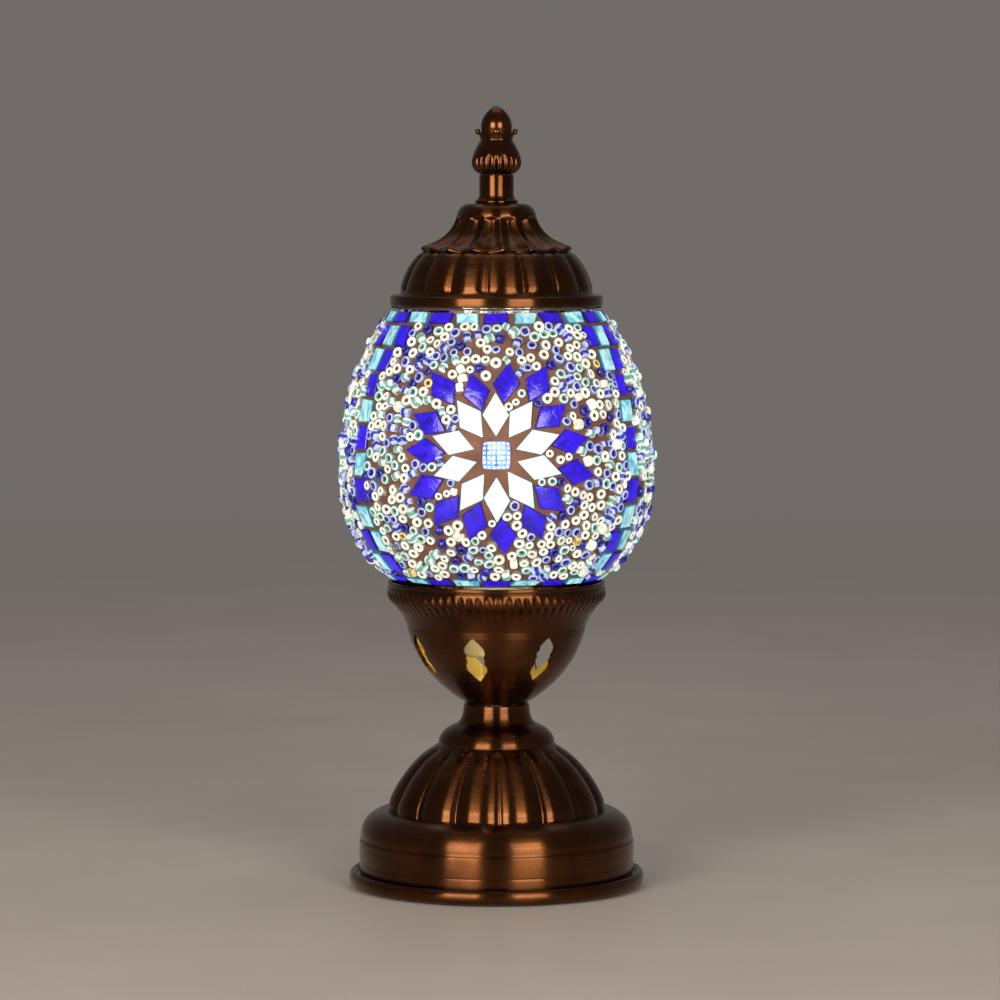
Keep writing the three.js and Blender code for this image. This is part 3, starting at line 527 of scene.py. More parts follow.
def base_outline():
    """The outer outline of the base with the share of the flute depth that each point takes."""
    plain = [(drum_radius - 0.5 * MM, drum_bottom), (drum_radius, drum_bottom + 0.6 * MM),
             (drum_radius, drum_bottom + 4.2 * MM), (drum_radius - 0.12 * MM, drum_bottom + 4.6 * MM),
             (drum_radius, drum_bottom + 5.0 * MM), (drum_radius, shoulder_bottom - 0.9 * MM),
             (drum_radius - 0.35 * MM, shoulder_bottom - 0.3 * MM),
             (drum_radius - 0.45 * MM, shoulder_bottom + 0.2 * MM)]
    plain = rounded(plain, 0.5 * MM, 2)
    plain += bowed(plain[-1], (ledge_radius, shoulder_top), 0.0, 0.78, 26)
    plain += bowed(plain[-1], (flute_foot_radius + 0.2 * MM, shoulder_top + 0.15 * MM), 0.5, 0.5, 4)
    points = [(r, z, 0.0) for r, z in plain]
    start = (flute_foot_radius, flute_bottom)
    end = (step_radius, flute_top)
    steps = 44
    for number, (radius, height) in enumerate([start] + bowed(start, end, 0.23, 0.59, steps)):
        t = number / steps
        swell = 0.9 * MM * smooth_step(t, 0.0, 0.12) * (1 - smooth_step(t, 0.72, 0.97))
        depth = 1.0 - 0.35 * t - 0.65 * smooth_step(t, 0.86, 0.99)
        points.append((radius + swell * 0.5, height + swell * 0.4, depth))
    top = [(step_radius, flute_top), (step_radius, flute_top + 0.9 * MM)]
    top += bowed(top[-1], (cup_radius, cup_bottom), 0.1, 0.65, 14)
    top += bowed(top[-1], (neck_radius, neck_top - 1.5 * MM), 0.9, 0.2, 12)
    top += [(neck_radius - 0.1 * MM, neck_top - 0.4 * MM), (neck_radius - 0.6 * MM, neck_top)]
    return points + [(r, z, 0.0) for r, z in top[1:]]


def make_base_shell(bronze):
    points = base_outline()
    outline = walled([(r, z) for r, z, depth in points], sheet)
    depths = [depth for r, z, depth in points]
    depths = depths + depths[::-1]

    def fluted(number, radius, height, azimuth):
        fallen = lobe_drop(across(azimuth, FLUTE_COUNT, FLUTE_VALLEY)) * flute_depth * depths[number]
        return radius - fallen, height - 0.35 * fallen

    vertices, faces = spun(outline, FLUTE_COUNT * 24, fluted)
    new_piece("base_shell_spun", vertices, faces, "lamp_base", [bronze], ["base_shell"], 42)


def make_base_plate(bronze):
    """The CAD plate with its rim rolled round finely, as one piece."""
    source = nodes["base_plate"].data
    vertices = [tuple(vertex.co) for vertex in source.vertices]
    faces = [tuple(polygon.vertices) for polygon in source.polygons]
    low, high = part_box("base_plate")
    proud = 0.12 * MM  # how far the fine rim stands out of the CAD rim
    rim_half_width = 1.6 * MM
    half_wide, half_tall = rim_half_width + proud, (high.z - low.z) / 2 + proud
    centre_radius, centre_level = high.x - rim_half_width, (high.z + low.z) / 2
    bead_sides = 24
    bead = []
    for side in range(bead_sides):
        turn = FULL_TURN * side / bead_sides
        bead.append((centre_radius + half_wide * math.cos(turn), centre_level + half_tall * math.sin(turn)))
    rim_vertices, rim_faces = spun(bead, 240)
    first = len(vertices)
    vertices += rim_vertices
    faces += [tuple(first + number for number in face) for face in rim_faces]
    new_piece("base_plate_rolled", vertices, faces, "lamp_base", [bronze], ["base_plate"], 30)


# ---- gallery bowl

bowl_low, bowl_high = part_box("gallery_bowl")
bowl_bottom = bowl_low.z - CLOSING
bowl_top = bowl_high.z
bowl_rim_radius = bowl_high.x
bowl_foot_radius = 11.5 * MM
belly_radius = bowl_rim_radius - 7.4 * MM
belly_level = bowl_bottom + 28.5 * MM
flare_radius = bowl_rim_radius - 1.2 * MM
flare_level = bowl_bottom + 38.3 * MM
RIB_COUNT = 72
RIB_SLANT = math.radians(1.6)
rib_depth = 0.70 * MM
WINDOW_COUNT = 7
WINDOW_AZIMUTH = math.radians(-15.5)
window_bottom = bowl_bottom + 9.4 * MM
window_top = window_bottom + 17.6 * MM
window_half_width = 3.95 * MM
INNER_COLUMNS = 10
SECTOR_COLUMNS = 41
WINDOW_SHAPE = ((0.0, 0.0), (0.09, 0.36), (0.18, 0.70), (0.25, 1.0), (0.37, 1.04), (0.44, 0.84), (0.52, 0.94),
                (0.60, 0.86), (0.66, 1.04), (0.77, 0.98), (0.86, 0.66), (0.94, 0.34), (1.0, 0.0))


def between(table, place):
    """A value read off a table of (place, value) pairs."""
    for (p0, v0), (p1, v1) in zip(table, table[1:]):
        if place <= p1:
            return v0 + (v1 - v0) * (place - p0) / (p1 - p0)
    return table[-1][1]


def bowl_outline():
    """The bowl's outer outline from foot to rim, with rows that meet both tips of the windows."""
    foot = [(bowl_foot_radius - 0.8 * MM, bowl_bottom), (bowl_foot_radius, bowl_bottom + 0.3 * MM)]
    curve = bowed(foot[-1], (belly_radius, belly_level), 0.82, 0.375, 150)
    below = [point for point in curve if point[1] < window_bottom][::3]
    inside = [point for point in curve if window_bottom <= point[1] <= window_top][::2]
    above = [point for point in curve if point[1] > window_top][::3]
    for level, rows in ((window_bottom, inside), (window_top, above)):
        nearest = min(curve, key=lambda point: abs(point[1] - level))
        rows.insert(0, (nearest[0], level))
    inside = [point for point in inside if point[1] < window_top - 0.05 * MM]
    body = foot + below + inside + above
    step = (belly_radius + 0.35 * MM, belly_level + 1.3 * MM)
    body += bowed(body[-1], step, 0.1, 0.6, 4)
    body += bowed(step, (flare_radius, flare_level), 0.3, 0.55, 16)
    rim = [(bowl_rim_radius, bowl_top - 5.2 * MM), (bowl_rim_radius - 0.1 * MM, bowl_top - 2.6 * MM),
           (bowl_rim_radius - 0.5 * MM, bowl_top - 1.6 * MM),
           (bowl_rim_radius - 0.35 * MM, bowl_top - 1.2 * MM),
           (bowl_rim_radius - 0.35 * MM, bowl_top - 0.25 * MM), (bowl_rim_radius - 0.6 * MM, bowl_top)]
    body += bowed(body[-1], rim[0], 0.75, 0.35, 8)
    for first, second in zip(rim, rim[1:]):
        body += bowed(first, second, 0.5, 0.5, 4)
    return body


def window_spread(height, radius):
    """Half the angle that the inner columns take at a height: the window's edge, or the open spacing."""
    open_half = math.pi / WINDOW_COUNT * INNER_COLUMNS / SECTOR_COLUMNS
    if height <= window_bottom:
        return open_half * min(1.0, (window_bottom - height) / (3 * MM))
    if height >= window_top:
        return open_half * min(1.0, (height - window_top) / (3 * MM))
    share = (height - window_bottom) / (window_top - window_bottom)
    return window_half_width * between(WINDOW_SHAPE, share) / radius


def make_gallery_bowl(bronze, raw_brass):
    outer = bowl_outline()
    outline = walled(outer, sheet)
    count = len(outline)
    half = count // 2
    columns = [(window, column) for window in range(WINDOW_COUNT)
               for column in range(-SECTOR_COLUMNS, SECTOR_COLUMNS)]
    sector = math.pi / WINDOW_COUNT
    vertices = []
    for window, column in columns:
        for number, (radius, height) in enumerate(outline):
            outer_radius, outer_height = outer[number if number < half else count - 1 - number]
            inner_half = window_spread(outer_height, outer_radius)
            if abs(column) <= INNER_COLUMNS:
                turn = inner_half * column / INNER_COLUMNS
            else:
                past = (abs(column) - INNER_COLUMNS) / (SECTOR_COLUMNS - INNER_COLUMNS)
                turn = math.copysign(inner_half + (sector - inner_half) * past, column)
            azimuth = WINDOW_AZIMUTH + 2 * sector * window + turn
            weight = smooth_step(outer_height, bowl_top - 13.0 * MM, bowl_top - 7.0 * MM)
            weight *= 1 - smooth_step(outer_height, bowl_top - 5.6 * MM, bowl_top - 2.3 * MM)
            slant = RIB_SLANT * (outer_height - bowl_top) / (8 * MM)
            fallen = across(azimuth + slant, RIB_COUNT, 0.0) ** 2 * rib_depth * weight
            vertices.append(place_at(radius - fallen, azimuth, height))
    slack = 0.01 * MM
    rows = [number for number in range(half - 1)
            if window_bottom - slack <= outer[number][1] and outer[number + 1][1] <= window_top + slack]
    open_rows = set(rows) | {count - 2 - number for number in rows}
    faces = []
    brass_faces = []
    for place, (window, column) in enumerate(columns):
        here, there = place * count, ((place + 1) % len(columns)) * count
        in_window = -INNER_COLUMNS <= column < INNER_COLUMNS
        for number in range(count):
            after = (number + 1) % count
            if in_window and number in open_rows:
                continue
            if half <= number < count - 1 and outline[number][1] < bowl_top - 7 * MM:
                brass_faces.append(len(faces))
            faces.append((here + number, there + number, there + after, here + after))
        for edge, turned in ((-INNER_COLUMNS, False), (INNER_COLUMNS, True)):
            if column != edge:
                continue
            for number in rows:
                inner = here + count - 1 - number
                wall = [here + number, here + number + 1, inner - 1, inner]
                faces.append(tuple(wall[::-1] if turned else wall))
    piece = new_piece("gallery_bowl_pressed", vertices, faces, "lamp_base",
                      [bronze, raw_brass], ["gallery_bowl"], 42)
    for face in brass_faces:
        piece.data.polygons[face].material_index = 1


# ---- top cap

cap_low, cap_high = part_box("top_cap")
cap_bottom = cap_low.z
cap_top = cap_high.z + CLOSING
cap_rim_radius = cap_high.x
cap_shelf_level = cap_bottom + 3.9 * MM
cap_lobe_foot = (cap_rim_radius - 3.8 * MM, cap_bottom + 5.0 * MM)
cap_star = (26.6 * MM, cap_bottom + 20.3 * MM)
cap_skirt = (26.2 * MM, cap_bottom + 22.2 * MM)
cap_shoulder = (14.8 * MM, cap_bottom + 33.1 * MM)
cap_flat_radius = 10.4 * MM
cap_hole_radius = 3.4 * MM
CAP_COUNT = 16
CAP_LOBE_VALLEY = math.radians(-6)
CAP_RIDGE = math.radians(5.25)
cap_lobe_depth = 1.35 * MM
cap_flute_depth = 1.7 * MM
star_reach = 0.8 * MM
star_sag = 0.7 * MM


def cap_outline():
    """The cap's outer outline, each point with its shares of the lobe depth, flute depth and star reach."""
    rim = [(cap_rim_radius - 0.35 * MM, cap_bottom), (cap_rim_radius, cap_bottom + 0.35 * MM),
           (cap_rim_radius, cap_shelf_level - 0.5 * MM), (cap_rim_radius - 0.5 * MM, cap_shelf_level),
           (cap_lobe_foot[0] + 0.5 * MM, cap_shelf_level + 0.25 * MM), cap_lobe_foot]
    points = [(r, z, 0.0, 0.0, 0.0) for r, z in rounded(rim, 0.4 * MM, 3)]
    steps = 40
    for number, (r, z) in enumerate(bowed(cap_lobe_foot, cap_star, 0.26, 0.68, steps)):
        t = (number + 1) / steps
        swell = 0.7 * MM * smooth_step(t, 0.0, 0.10) * (1 - smooth_step(t, 0.8, 1.0))
        points.append((r + 0.6 * swell, z + 0.4 * swell, smooth_step(t, 0.0, 0.05) * (1 - 0.3 * t), 0.0,
                       smooth_step(t, 0.88, 1.0) * 0.4))
    r, z = cap_star
    for step, (out, up) in enumerate(((0.5, 0.1), (0.9, 0.45), (0.9, 0.9), (0.6, 1.35), (0.1, 1.7))):
        points.append((r + out * MM, z + up * MM, 0.35 * (1 - step / 4), 0.15 + 0.1 * step, 1.0))
    steps = 36
    for number, (r, z) in enumerate(bowed(cap_skirt, cap_shoulder, 0.84, 0.3, steps)):
        t = (number + 1) / steps
        points.append((r, z, 0.0, (0.75 + 0.25 * math.sin(math.pi * t)) * (1 - smooth_step(t, 0.90, 1.0)),
                       1 - smooth_step(t, 0.0, 0.35)))
    top = bowed(cap_shoulder, (cap_flat_radius, cap_top), 0.2, 0.9, 10)
    top += [(cap_hole_radius + 1.0 * MM, cap_top), (cap_hole_radius, cap_top - 0.1 * MM)]
    return points + [(r, z, 0.0, 0.0, 0.0) for r, z in top]


def make_top_cap(bronze):
    points = cap_outline()
    outline = walled([(point[0], point[1]) for point in points], sheet)
    shares = [point[2:] for point in points]
    shares = shares + shares[::-1]

    def pressed(number, radius, height, azimuth):
        lobe, flute, star = shares[number]
        fallen = lobe_drop(across(azimuth, CAP_COUNT, CAP_LOBE_VALLEY)) * cap_lobe_depth * lobe
        along = across(azimuth, CAP_COUNT, CAP_RIDGE)
        hollow = (1 - abs(along) ** 1.7) * cap_flute_depth * flute
        point = abs(along) ** 2.2
        return (radius - fallen - hollow + star * star_reach * (point - 0.35),
                height - 0.4 * fallen - 0.3 * hollow - star * star_sag * (1 - point))

    vertices, faces = spun(outline, CAP_COUNT * 24, pressed)
    new_piece("top_cap_pressed", vertices, faces, "cap", [bronze], ["top_cap"], 38)


# ---- sleeve and finial

def make_sleeve(bronze):
    low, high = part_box("finial_sleeve")
    bottom, top = low.z - CLOSING, high.z + CLOSING
    radius = 6.4 * MM
    outer = [(high.x - 0.5 * MM, bottom), (high.x, bottom + 0.5 * MM),
             (high.x - 0.15 * MM, bottom + 1.1 * MM), (high.x - 0.8 * MM, bottom + 1.5 * MM)]
    outer += bowed(outer[-1], (radius, bottom + 3.2 * MM), 0.85, 0.35, 8)
    outer += [(radius, top - 0.3 * MM), (radius - 0.25 * MM, top)]
    vertices, faces = spun(walled(rounded(outer, 0.2 * MM, 3), 1.4 * MM), 96)
    new_piece("finial_sleeve_turned", vertices, faces, "cap", [bronze], ["finial_sleeve"])


finial_low, finial_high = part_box("finial")
finial_bottom = finial_low.z - CLOSING
finial_top = finial_high.z
bulge_radius = finial_high.x
bulge_level = finial_bottom + 4.3 * MM
waist_radius = 5.2 * MM
waist_level = finial_bottom + 13.0 * MM
bud_radius = 5.8 * MM
bud_level = finial_bottom + 17.4 * MM
leaf_tip = (6.75 * MM, finial_bottom + 15.8 * MM)
leaf_knob = 1.0 * MM
FINIAL_RIBS = 20
LEAF_COUNT = 4
finial_rib_depth = 0.75 * MM


def finial_outline():
    """The turned core of the finial, each point with its share of the rib depth."""
    core = [(0.01 * MM, finial_bottom), (5.6 * MM, finial_bottom)]
    low = bowed(core[-1], (bulge_radius - 0.2 * MM, bulge_level), 0.92, 0.22, 16)
    high = bowed(low[-1], (waist_radius, waist_level), 0.05, 0.50, 20)
    neck = bowed(high[-1], (bud_radius, bud_level), 0.1, 0.45, 10)
    bud = bowed(neck[-1], (0.01 * MM, finial_top), 0.02, 0.62, 22)
    points = [(r, z, 0.0) for r, z in core]
    points += [(r, z, smooth_step(z, finial_bottom, finial_bottom + 1.2 * MM)) for r, z in low]
    points += [(r, z, 1 - smooth_step(z, bulge_level, bulge_level + 3.6 * MM)) for r, z in high]
    return points + [(r, z, 0.0) for r, z in neck + bud]


def leaf_sheet(azimuth):
    """One acanthus leaf: it climbs the waist, cups round the bud and curls outwards at its tip."""
    tip_r, tip_z = leaf_tip
    start = (bulge_radius - 0.9 * MM, bulge_level + 1.2 * MM)
    middle = (waist_radius + 0.45 * MM, waist_level - 0.3 * MM)
    path = [start] + bowed(start, middle, 0.2, 0.55, 10)
    path += bowed(middle, (tip_r + 0.2 * MM, tip_z), 0.25, 0.5, 9)
    columns = 12
    rows = len(path)
    vertices, faces = [], []
    for thickness in (0.0, 0.65 * MM):
        for number, (r, z) in enumerate(path):
            t = number / (rows - 1)
            half = (0.9 + 3.2 * math.sin(math.pi * min(1.0, 0.12 + 0.86 * t))) * MM
            for column in range(columns + 1):
                share = 2 * column / columns - 1
                rib = 0.28 * MM * math.cos(share * 3 * math.pi) * (1 - t * 0.5)
                cup = -0.55 * MM * share * share * smooth_step(t, 0.25, 0.7)
                radius = r + rib + cup - thickness
                vertices.append(place_at(radius, azimuth + half * share / max(radius, 4 * MM), z))
    layer = rows * (columns + 1)
    width = columns + 1
    for row in range(rows - 1):
        for column in range(columns):
            a = row * width + column
            faces.append((a, a + 1, a + width + 1, a + width))
            faces.append((layer + a, layer + a + width, layer + a + width + 1, layer + a + 1))
    border = list(range(width))
    border += [row * width + columns for row in range(1, rows)]
    border += [(rows - 1) * width + column for column in range(columns - 1, -1, -1)]
    border += [row * width for row in range(rows - 2, 0, -1)]
    for here, there in zip(border, border[1:] + border[:1]):
        faces.append((here, layer + here, layer + there, there))
    return vertices, faces


def leaf_curl(azimuth):
    """The tip of a leaf, rolled outwards into a small knob."""
    vertices = []
    rings, sides = 8, 14
    tip_r, tip_z = leaf_tip
    for ring in range(rings + 1):
        lean = math.pi * ring / rings
        for side in range(sides):
            turn = FULL_TURN * side / sides
            out = leaf_knob * math.sin(lean) * math.cos(turn)
            up = leaf_knob * 1.15 * math.sin(lean) * math.sin(turn)
            along = 1.35 * leaf_knob * math.cos(lean)
            vertices.append(place_at(tip_r + 0.15 * MM + out, azimuth + along / tip_r, tip_z + up))
    return vertices, stacked_faces(rings, sides)


def make_finial(bronze):
    points = finial_outline()
    depths = [depth for r, z, depth in points]

    def ribbed(number, radius, height, azimuth):
        fallen = lobe_drop(across(azimuth, FINIAL_RIBS, 0.0)) * finial_rib_depth * depths[number]
        return radius - fallen, height

    vertices, faces = spun([(r, z) for r, z, depth in points], FINIAL_RIBS * 8, ribbed)
    for leaf in range(LEAF_COUNT):
        azimuth = FULL_TURN * leaf / LEAF_COUNT
        for more_vertices, more_faces in (leaf_sheet(azimuth), leaf_curl(azimuth)):
            first = len(vertices)
            vertices += more_vertices
            faces += [tuple(first + number for number in face) for face in more_faces]
    new_piece("finial_cast", vertices, faces, "finial", [bronze], ["finial"], 50)


# ---- mosaic: the surface that it lies on

shade_low, shade_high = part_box("mosaic_skin")
shade_bottom = shade_low.z
hidden_edge = 0.2 * MM
shade_top = shade_high.z + hidden_edge
shade_radius = shade_high.x
belt_level = shade_bottom + 39.7 * MM
shade_bottom_radius = 40.2 * MM
shade_top_radius = 39.41 * MM
bulb_centre = (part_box("bulb_globe")[0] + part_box("bulb_globe")[1]) / 2
MEDALLION_COUNT = 3
medallion_level = (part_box("medallion_gem_1")[0].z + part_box("medallion_gem_1")[1].z) / 2
grout_lift = -1.8 * MM
tile_lift = -0.75 * MM
bead_lift = -1.65 * MM
ARC_STEPS = 600


def egg_radius(height):
    edge, level = ((shade_bottom_radius, shade_bottom) if height < belt_level
                   else (shade_top_radius, shade_top))
    reach = (level - belt_level) / math.sqrt(1 - (edge / shade_radius) ** 2)
    return shade_radius * math.sqrt(1 - ((height - belt_level) / reach) ** 2)


arc_levels = np.linspace(shade_bottom, shade_top, ARC_STEPS)
arc_radii = np.array([egg_radius(level) for level in arc_levels])
arc_lengths = np.concatenate(([0.0], np.cumsum(np.hypot(np.diff(arc_levels), np.diff(arc_radii)))))
arc_end = float(arc_lengths[-1])
medallion_arc = float(np.interp(medallion_level, arc_levels, arc_lengths))


def radius_on_arc(arc):
    return float(np.interp(arc, arc_lengths, arc_radii))


def frame_at(arc, azimuth):
    """A point on the egg and its right, up and outward directions."""
    step = 0.5 * MM
    low, high = max(arc - step, 0.0), min(arc + step, arc_end)
    dz = float(np.interp(high, arc_lengths, arc_levels) - np.interp(low, arc_lengths, arc_levels))
    dr = radius_on_arc(high) - radius_on_arc(low)
    radius = radius_on_arc(arc)
    level = float(np.interp(arc, arc_lengths, arc_levels))
    right = Vector((math.cos(azimuth), math.sin(azimuth), 0))
    outward = Vector((math.sin(azimuth), -math.cos(azimuth), 0))
    up = (outward * dr + Vector((0, 0, dz))).normalized()
    normal = right.cross(up).normalized()
    return Vector(place_at(radius, azimuth, level)), right, up, normal


medallion_centres = [frame_at(medallion_arc, FULL_TURN * number / MEDALLION_COUNT)[0]
                     for number in range(MEDALLION_COUNT)]


def glow_at(point, hot=2.0):
    """Painted glow for a place on the shade: brighter near the bulb, with a painted hot spot at each
    medallion.
    """
    near = (shade_radius / (Vector(point) - bulb_centre).length) ** 1.1
    closest = min((Vector(point) - centre).length for centre in medallion_centres)
    return near * (1 + hot * math.exp(-(closest / (15 * MM)) ** 2))


# ---- mosaic: where the tiles go

TILE_GAP = 0.55 * MM


def edges_of(corners):
    return list(zip(corners, corners[1:] + corners[:1]))


def apart(first, second, gap):
    """True if a straight line with that gap separates two convex outlines."""
    for corners in (first, second):
        for (x0, y0), (x1, y1) in edges_of(corners):
            length = math.hypot(x1 - x0, y1 - y0)
            nx, ny = (y1 - y0) / length, (x0 - x1) / length
            a = [x * nx + y * ny for x, y in first]
            b = [x * nx + y * ny for x, y in second]
            if min(a) - max(b) >= gap or min(b) - max(a) >= gap:
                return True
    return False


def diamond(turn, inner, length, half_width, lean):
    """A diamond that points away from the medallion's centre, at a turn from straight up."""
    out = (math.sin(turn), math.cos(turn))
    side = (math.cos(turn), -math.sin(turn))
    middle = inner + length * (0.48 + lean)
    shape = ((inner, 0.0), (middle, half_width), (inner + length, 0.0),
             (middle - 2 * lean * length, -half_width))
    return [(out[0] * along + side[0] * beside, out[1] * along + side[1] * beside) for along, beside in shape]


def push_out(tiles, kind, inner, limit, shape):
    """Adds the tile that shape(inner) makes, moved outwards until it clears every tile before it."""
    while inner < limit:
        corners = shape(inner)
        if all(apart(corners, other, TILE_GAP) for earlier, other in tiles):
            tiles.append((kind, corners))
            return
        inner += 0.25 * MM


def flower_tiles(rng):
    """The rays of one medallion as (kind, corners): pale diamonds, with blue ones outside them."""
    tiles = []
    white_count, blue_count = 10, 15
    white_turns = [FULL_TURN * number / white_count + math.radians(rng.uniform(-2.5, 2.5))
                   for number in range(white_count)]
    for turn in white_turns:
        inner = (7.4 + rng.uniform(-0.3, 0.9)) * MM
        length = (16.2 + rng.uniform(-0.6, 0.6)) * MM
        push_out(tiles, "white", inner, 12 * MM,
                 lambda start: diamond(turn, start, length, 4.7 * MM, rng.uniform(-0.04, 0.04)))
    for number in range(blue_count):
        turn = FULL_TURN * (number + 0.30) / blue_count + math.radians(rng.uniform(-1.5, 1.5))
        length = (15.2 + rng.uniform(-0.8, 1.0)) * MM
        lean = rng.uniform(-0.05, 0.05)
        push_out(tiles, "cobalt", 15.0 * MM, 25 * MM,
                 lambda start: diamond(turn, start, length, 4.95 * MM, lean))
    return tiles


def block_tile(rng, width, height):
    """A hand-cut four-sided tile about its centre."""
    half_w, half_h = width / 2, height / 2
    skew = rng.uniform(-0.8, 0.8) * MM
    corners = []
    for x, y in ((-half_w, -half_h), (half_w, -half_h), (half_w, half_h), (-half_w, half_h)):
        corners.append((x + rng.uniform(-0.5, 0.5) * MM + (skew if y > 0 else -skew),
                        y + rng.uniform(-0.3, 0.3) * MM))
    return corners


def column_tiles(rng, azimuth):
    """The band between two medallions: one column of blocks that spreads to two and three at its ends."""
    tiles = []
    block = 9.2 * MM
    first = 5.6 * MM
    rows = int((arc_end - 2 * first) / block)
    block = (arc_end - 2 * first) / rows
    for row in range(rows):
        from_end = min(row, rows - 1 - row)
        columns = (3, 2, 1)[min(from_end, 2)] if row > rows / 2 else (2, 2, 1)[min(from_end, 2)]
        width = {1: 7.4, 2: 6.6, 3: 6.0}[columns] * MM
        arc = first + (row + 0.5) * block
        for column in range(columns):
            shift = (column - (columns - 1) / 2) * (width + 1.3 * MM)
            kind = "cobalt" if (row + column) % 2 else "turquoise"
            corners = block_tile(rng, width + rng.uniform(-0.8, 0.6) * MM, block - 1.4 * MM)
            tiles.append((kind, arc, azimuth + shift / radius_on_arc(arc), corners))
    return tiles


def ring_tiles(rng, arc, count, height, gap):
    """The row of blocks round one end of the shade."""
    tiles = []
    width = FULL_TURN * radius_on_arc(arc) / count - gap
    for number in range(count):
        azimuth = FULL_TURN * number / count
        kind = "turquoise" if number % 2 else "cobalt"
        tiles.append((kind, arc, azimuth, block_tile(rng, width + rng.uniform(-0.6, 0.6) * MM, height)))
    return tiles


def lay_out_tiles(rng):
    """Every tile as (kind, arc, azimuth, corners about that place)."""
    laid = []
    for number in range(MEDALLION_COUNT):
        azimuth = FULL_TURN * number / MEDALLION_COUNT
        for kind, corners in flower_tiles(rng):
            x = sum(corner[0] for corner in corners) / len(corners)
            y = sum(corner[1] for corner in corners) / len(corners)
            arc = medallion_arc + y
            about = [(cx - x, cy - y) for cx, cy in corners]
            laid.append((kind, arc, azimuth + x / radius_on_arc(arc), about))
        laid += column_tiles(rng, azimuth + math.pi / MEDALLION_COUNT)
    laid += ring_tiles(rng, arc_end - 2.4 * MM, 24, 4.6 * MM, 2.2 * MM)
    laid += ring_tiles(rng, 1.7 * MM, 24, 2.8 * MM, 1.6 * MM)
    return laid


def tile_mesh(rng, arc, azimuth, corners):
    """One tile with a ground bevel, its underside sunk in the grout, and how bright each vertex's face is."""
    centre, right, up, normal = frame_at(arc, azimuth)
    tilt = Vector((rng.uniform(-0.025, 0.025), rng.uniform(-0.025, 0.025)))
    normal = (normal + right * tilt.x + up * tilt.y).normalized()
    bevel = 0.5 * MM
    reach = max(math.hypot(x, y) for x, y in corners)
    rise = tile_lift - 0.3 * reach ** 2 / shade_radius
    vertices, values = [], []
    # Each layer: its lift, how far its corners come in, and its brightness, lower on the sides and bevel as
    # painted shade.
    for lift, shrink, value in ((-3.0 * MM, 0.0, 0.25), (rise - 0.30 * MM, 0.0, 0.42),
                                (rise - 0.06 * MM, 0.6, 0.75), (rise, 1.0, 1.0)):
        for x, y in corners:
            share = 1 - shrink * bevel / math.hypot(x, y) * 1.4
            vertices.append(tuple(centre + right * (x * share) + up * (y * share) + normal * lift))
            values.append(value)
    count = len(corners)
    faces = stacked_faces(3, count)
    faces.append(tuple(range(count))[::-1])
    faces.append(tuple(3 * count + corner for corner in range(count)))
    return vertices, faces, values


class Gathered:
    """The vertices, faces and vertex values of many small pieces that make one object."""

    def __init__(self):
        self.vertices = []
        self.faces = []
        self.values = {}

    def take(self, vertices, faces, **values):
        first = len(self.vertices)
        self.vertices += vertices
        self.faces += [tuple(first + number for number in face) for face in faces]
        for key, numbers in values.items():
            self.values.setdefault(key, []).extend(numbers)


def make_tiles(rng, laid, looks):
    groups = {kind: Gathered() for kind in looks}
    for kind, arc, azimuth, corners in laid:
        vertices, faces, values = tile_mesh(rng, arc, azimuth, corners)
        own = rng.uniform(0.82, 1.12)
        # The painted hot spot is strongest on the white tiles round each gem.
        hot = 2.6 if kind == "white" else 0.35
        glow = [own * glow_at(vertex, hot) for vertex in vertices]
        groups[kind].take(vertices, faces, glow=glow, face=values)
    for kind, group in groups.items():
        new_piece("tiles_" + kind, group.vertices, group.faces, "shade",
                  [looks[kind]], ["mosaic_skin"], 20, group.values)


# ---- mosaic: beads

MAP_STEP = 0.4 * MM
bare_radius = 16 * MM  # grout without beads round each gem
BEAD_SEEDS = 400
BEAD_NEIGHBOUR_TRIES = 110
BEAD_FILLERS = 50000
BEAD_MOST = 3000
BEAD_MIX = (("white", 0.42), ("lined_blue", 0.26), ("lined_aqua", 0.21), ("cobalt", 0.09), ("amber", 0.02))


def clearance_map(laid):
    """How far each place on the unrolled shade is from the nearest tile or bare ring of grout."""
    rows = int(arc_end / MAP_STEP) + 1
    columns = int(FULL_TURN * shade_radius / MAP_STEP)
    clear = np.full((rows, columns), 99 * MM)
    arcs = np.arange(rows) * MAP_STEP
    radii = np.interp(arcs, arc_lengths, arc_radii)
    shapes = [(arc, azimuth, corners) for kind, arc, azimuth, corners in laid]
    sides = 12
    turns = [FULL_TURN * side / sides for side in range(sides)]
    bare = [(bare_radius * math.cos(turn), bare_radius * math.sin(turn)) for turn in turns]
    for number in range(MEDALLION_COUNT):
        shapes.append((medallion_arc, FULL_TURN * number / MEDALLION_COUNT, bare))
    for arc, azimuth, corners in shapes:
        reach = max(math.hypot(x, y) for x, y in corners) + 4 * MM
        low = max(int((arc - reach) / MAP_STEP), 0)
        high = min(int((arc + reach) / MAP_STEP) + 1, rows)
        half = int(reach / float(radii[low:high].min()) / FULL_TURN * columns) + 1
        middle = int(round(azimuth / FULL_TURN * columns))
        picks = np.arange(middle - half, middle + half + 1)
        x = (picks * FULL_TURN / columns - azimuth)[None, :] * radii[low:high, None]
        y = (arcs[low:high] - arc)[:, None] + 0 * x
        inside = np.full(x.shape, True)
        nearest = np.full(x.shape, 99 * MM)
        area = sum(x0 * y1 - x1 * y0 for (x0, y0), (x1, y1) in edges_of(corners))
        for (x0, y0), (x1, y1) in edges_of(corners):
            ex, ey = x1 - x0, y1 - y0
            share = np.clip(((x - x0) * ex + (y - y0) * ey) / (ex * ex + ey * ey), 0, 1)
            nearest = np.minimum(nearest, np.hypot(x - x0 - share * ex, y - y0 - share * ey))
            inside &= (ex * (y - y0) - ey * (x - x0)) * math.copysign(1, area) > 0
        distance = np.where(inside, -nearest, nearest)
        window = np.ix_(np.arange(low, high), picks % columns)
        clear[window] = np.minimum(clear[window], distance)
    return clear


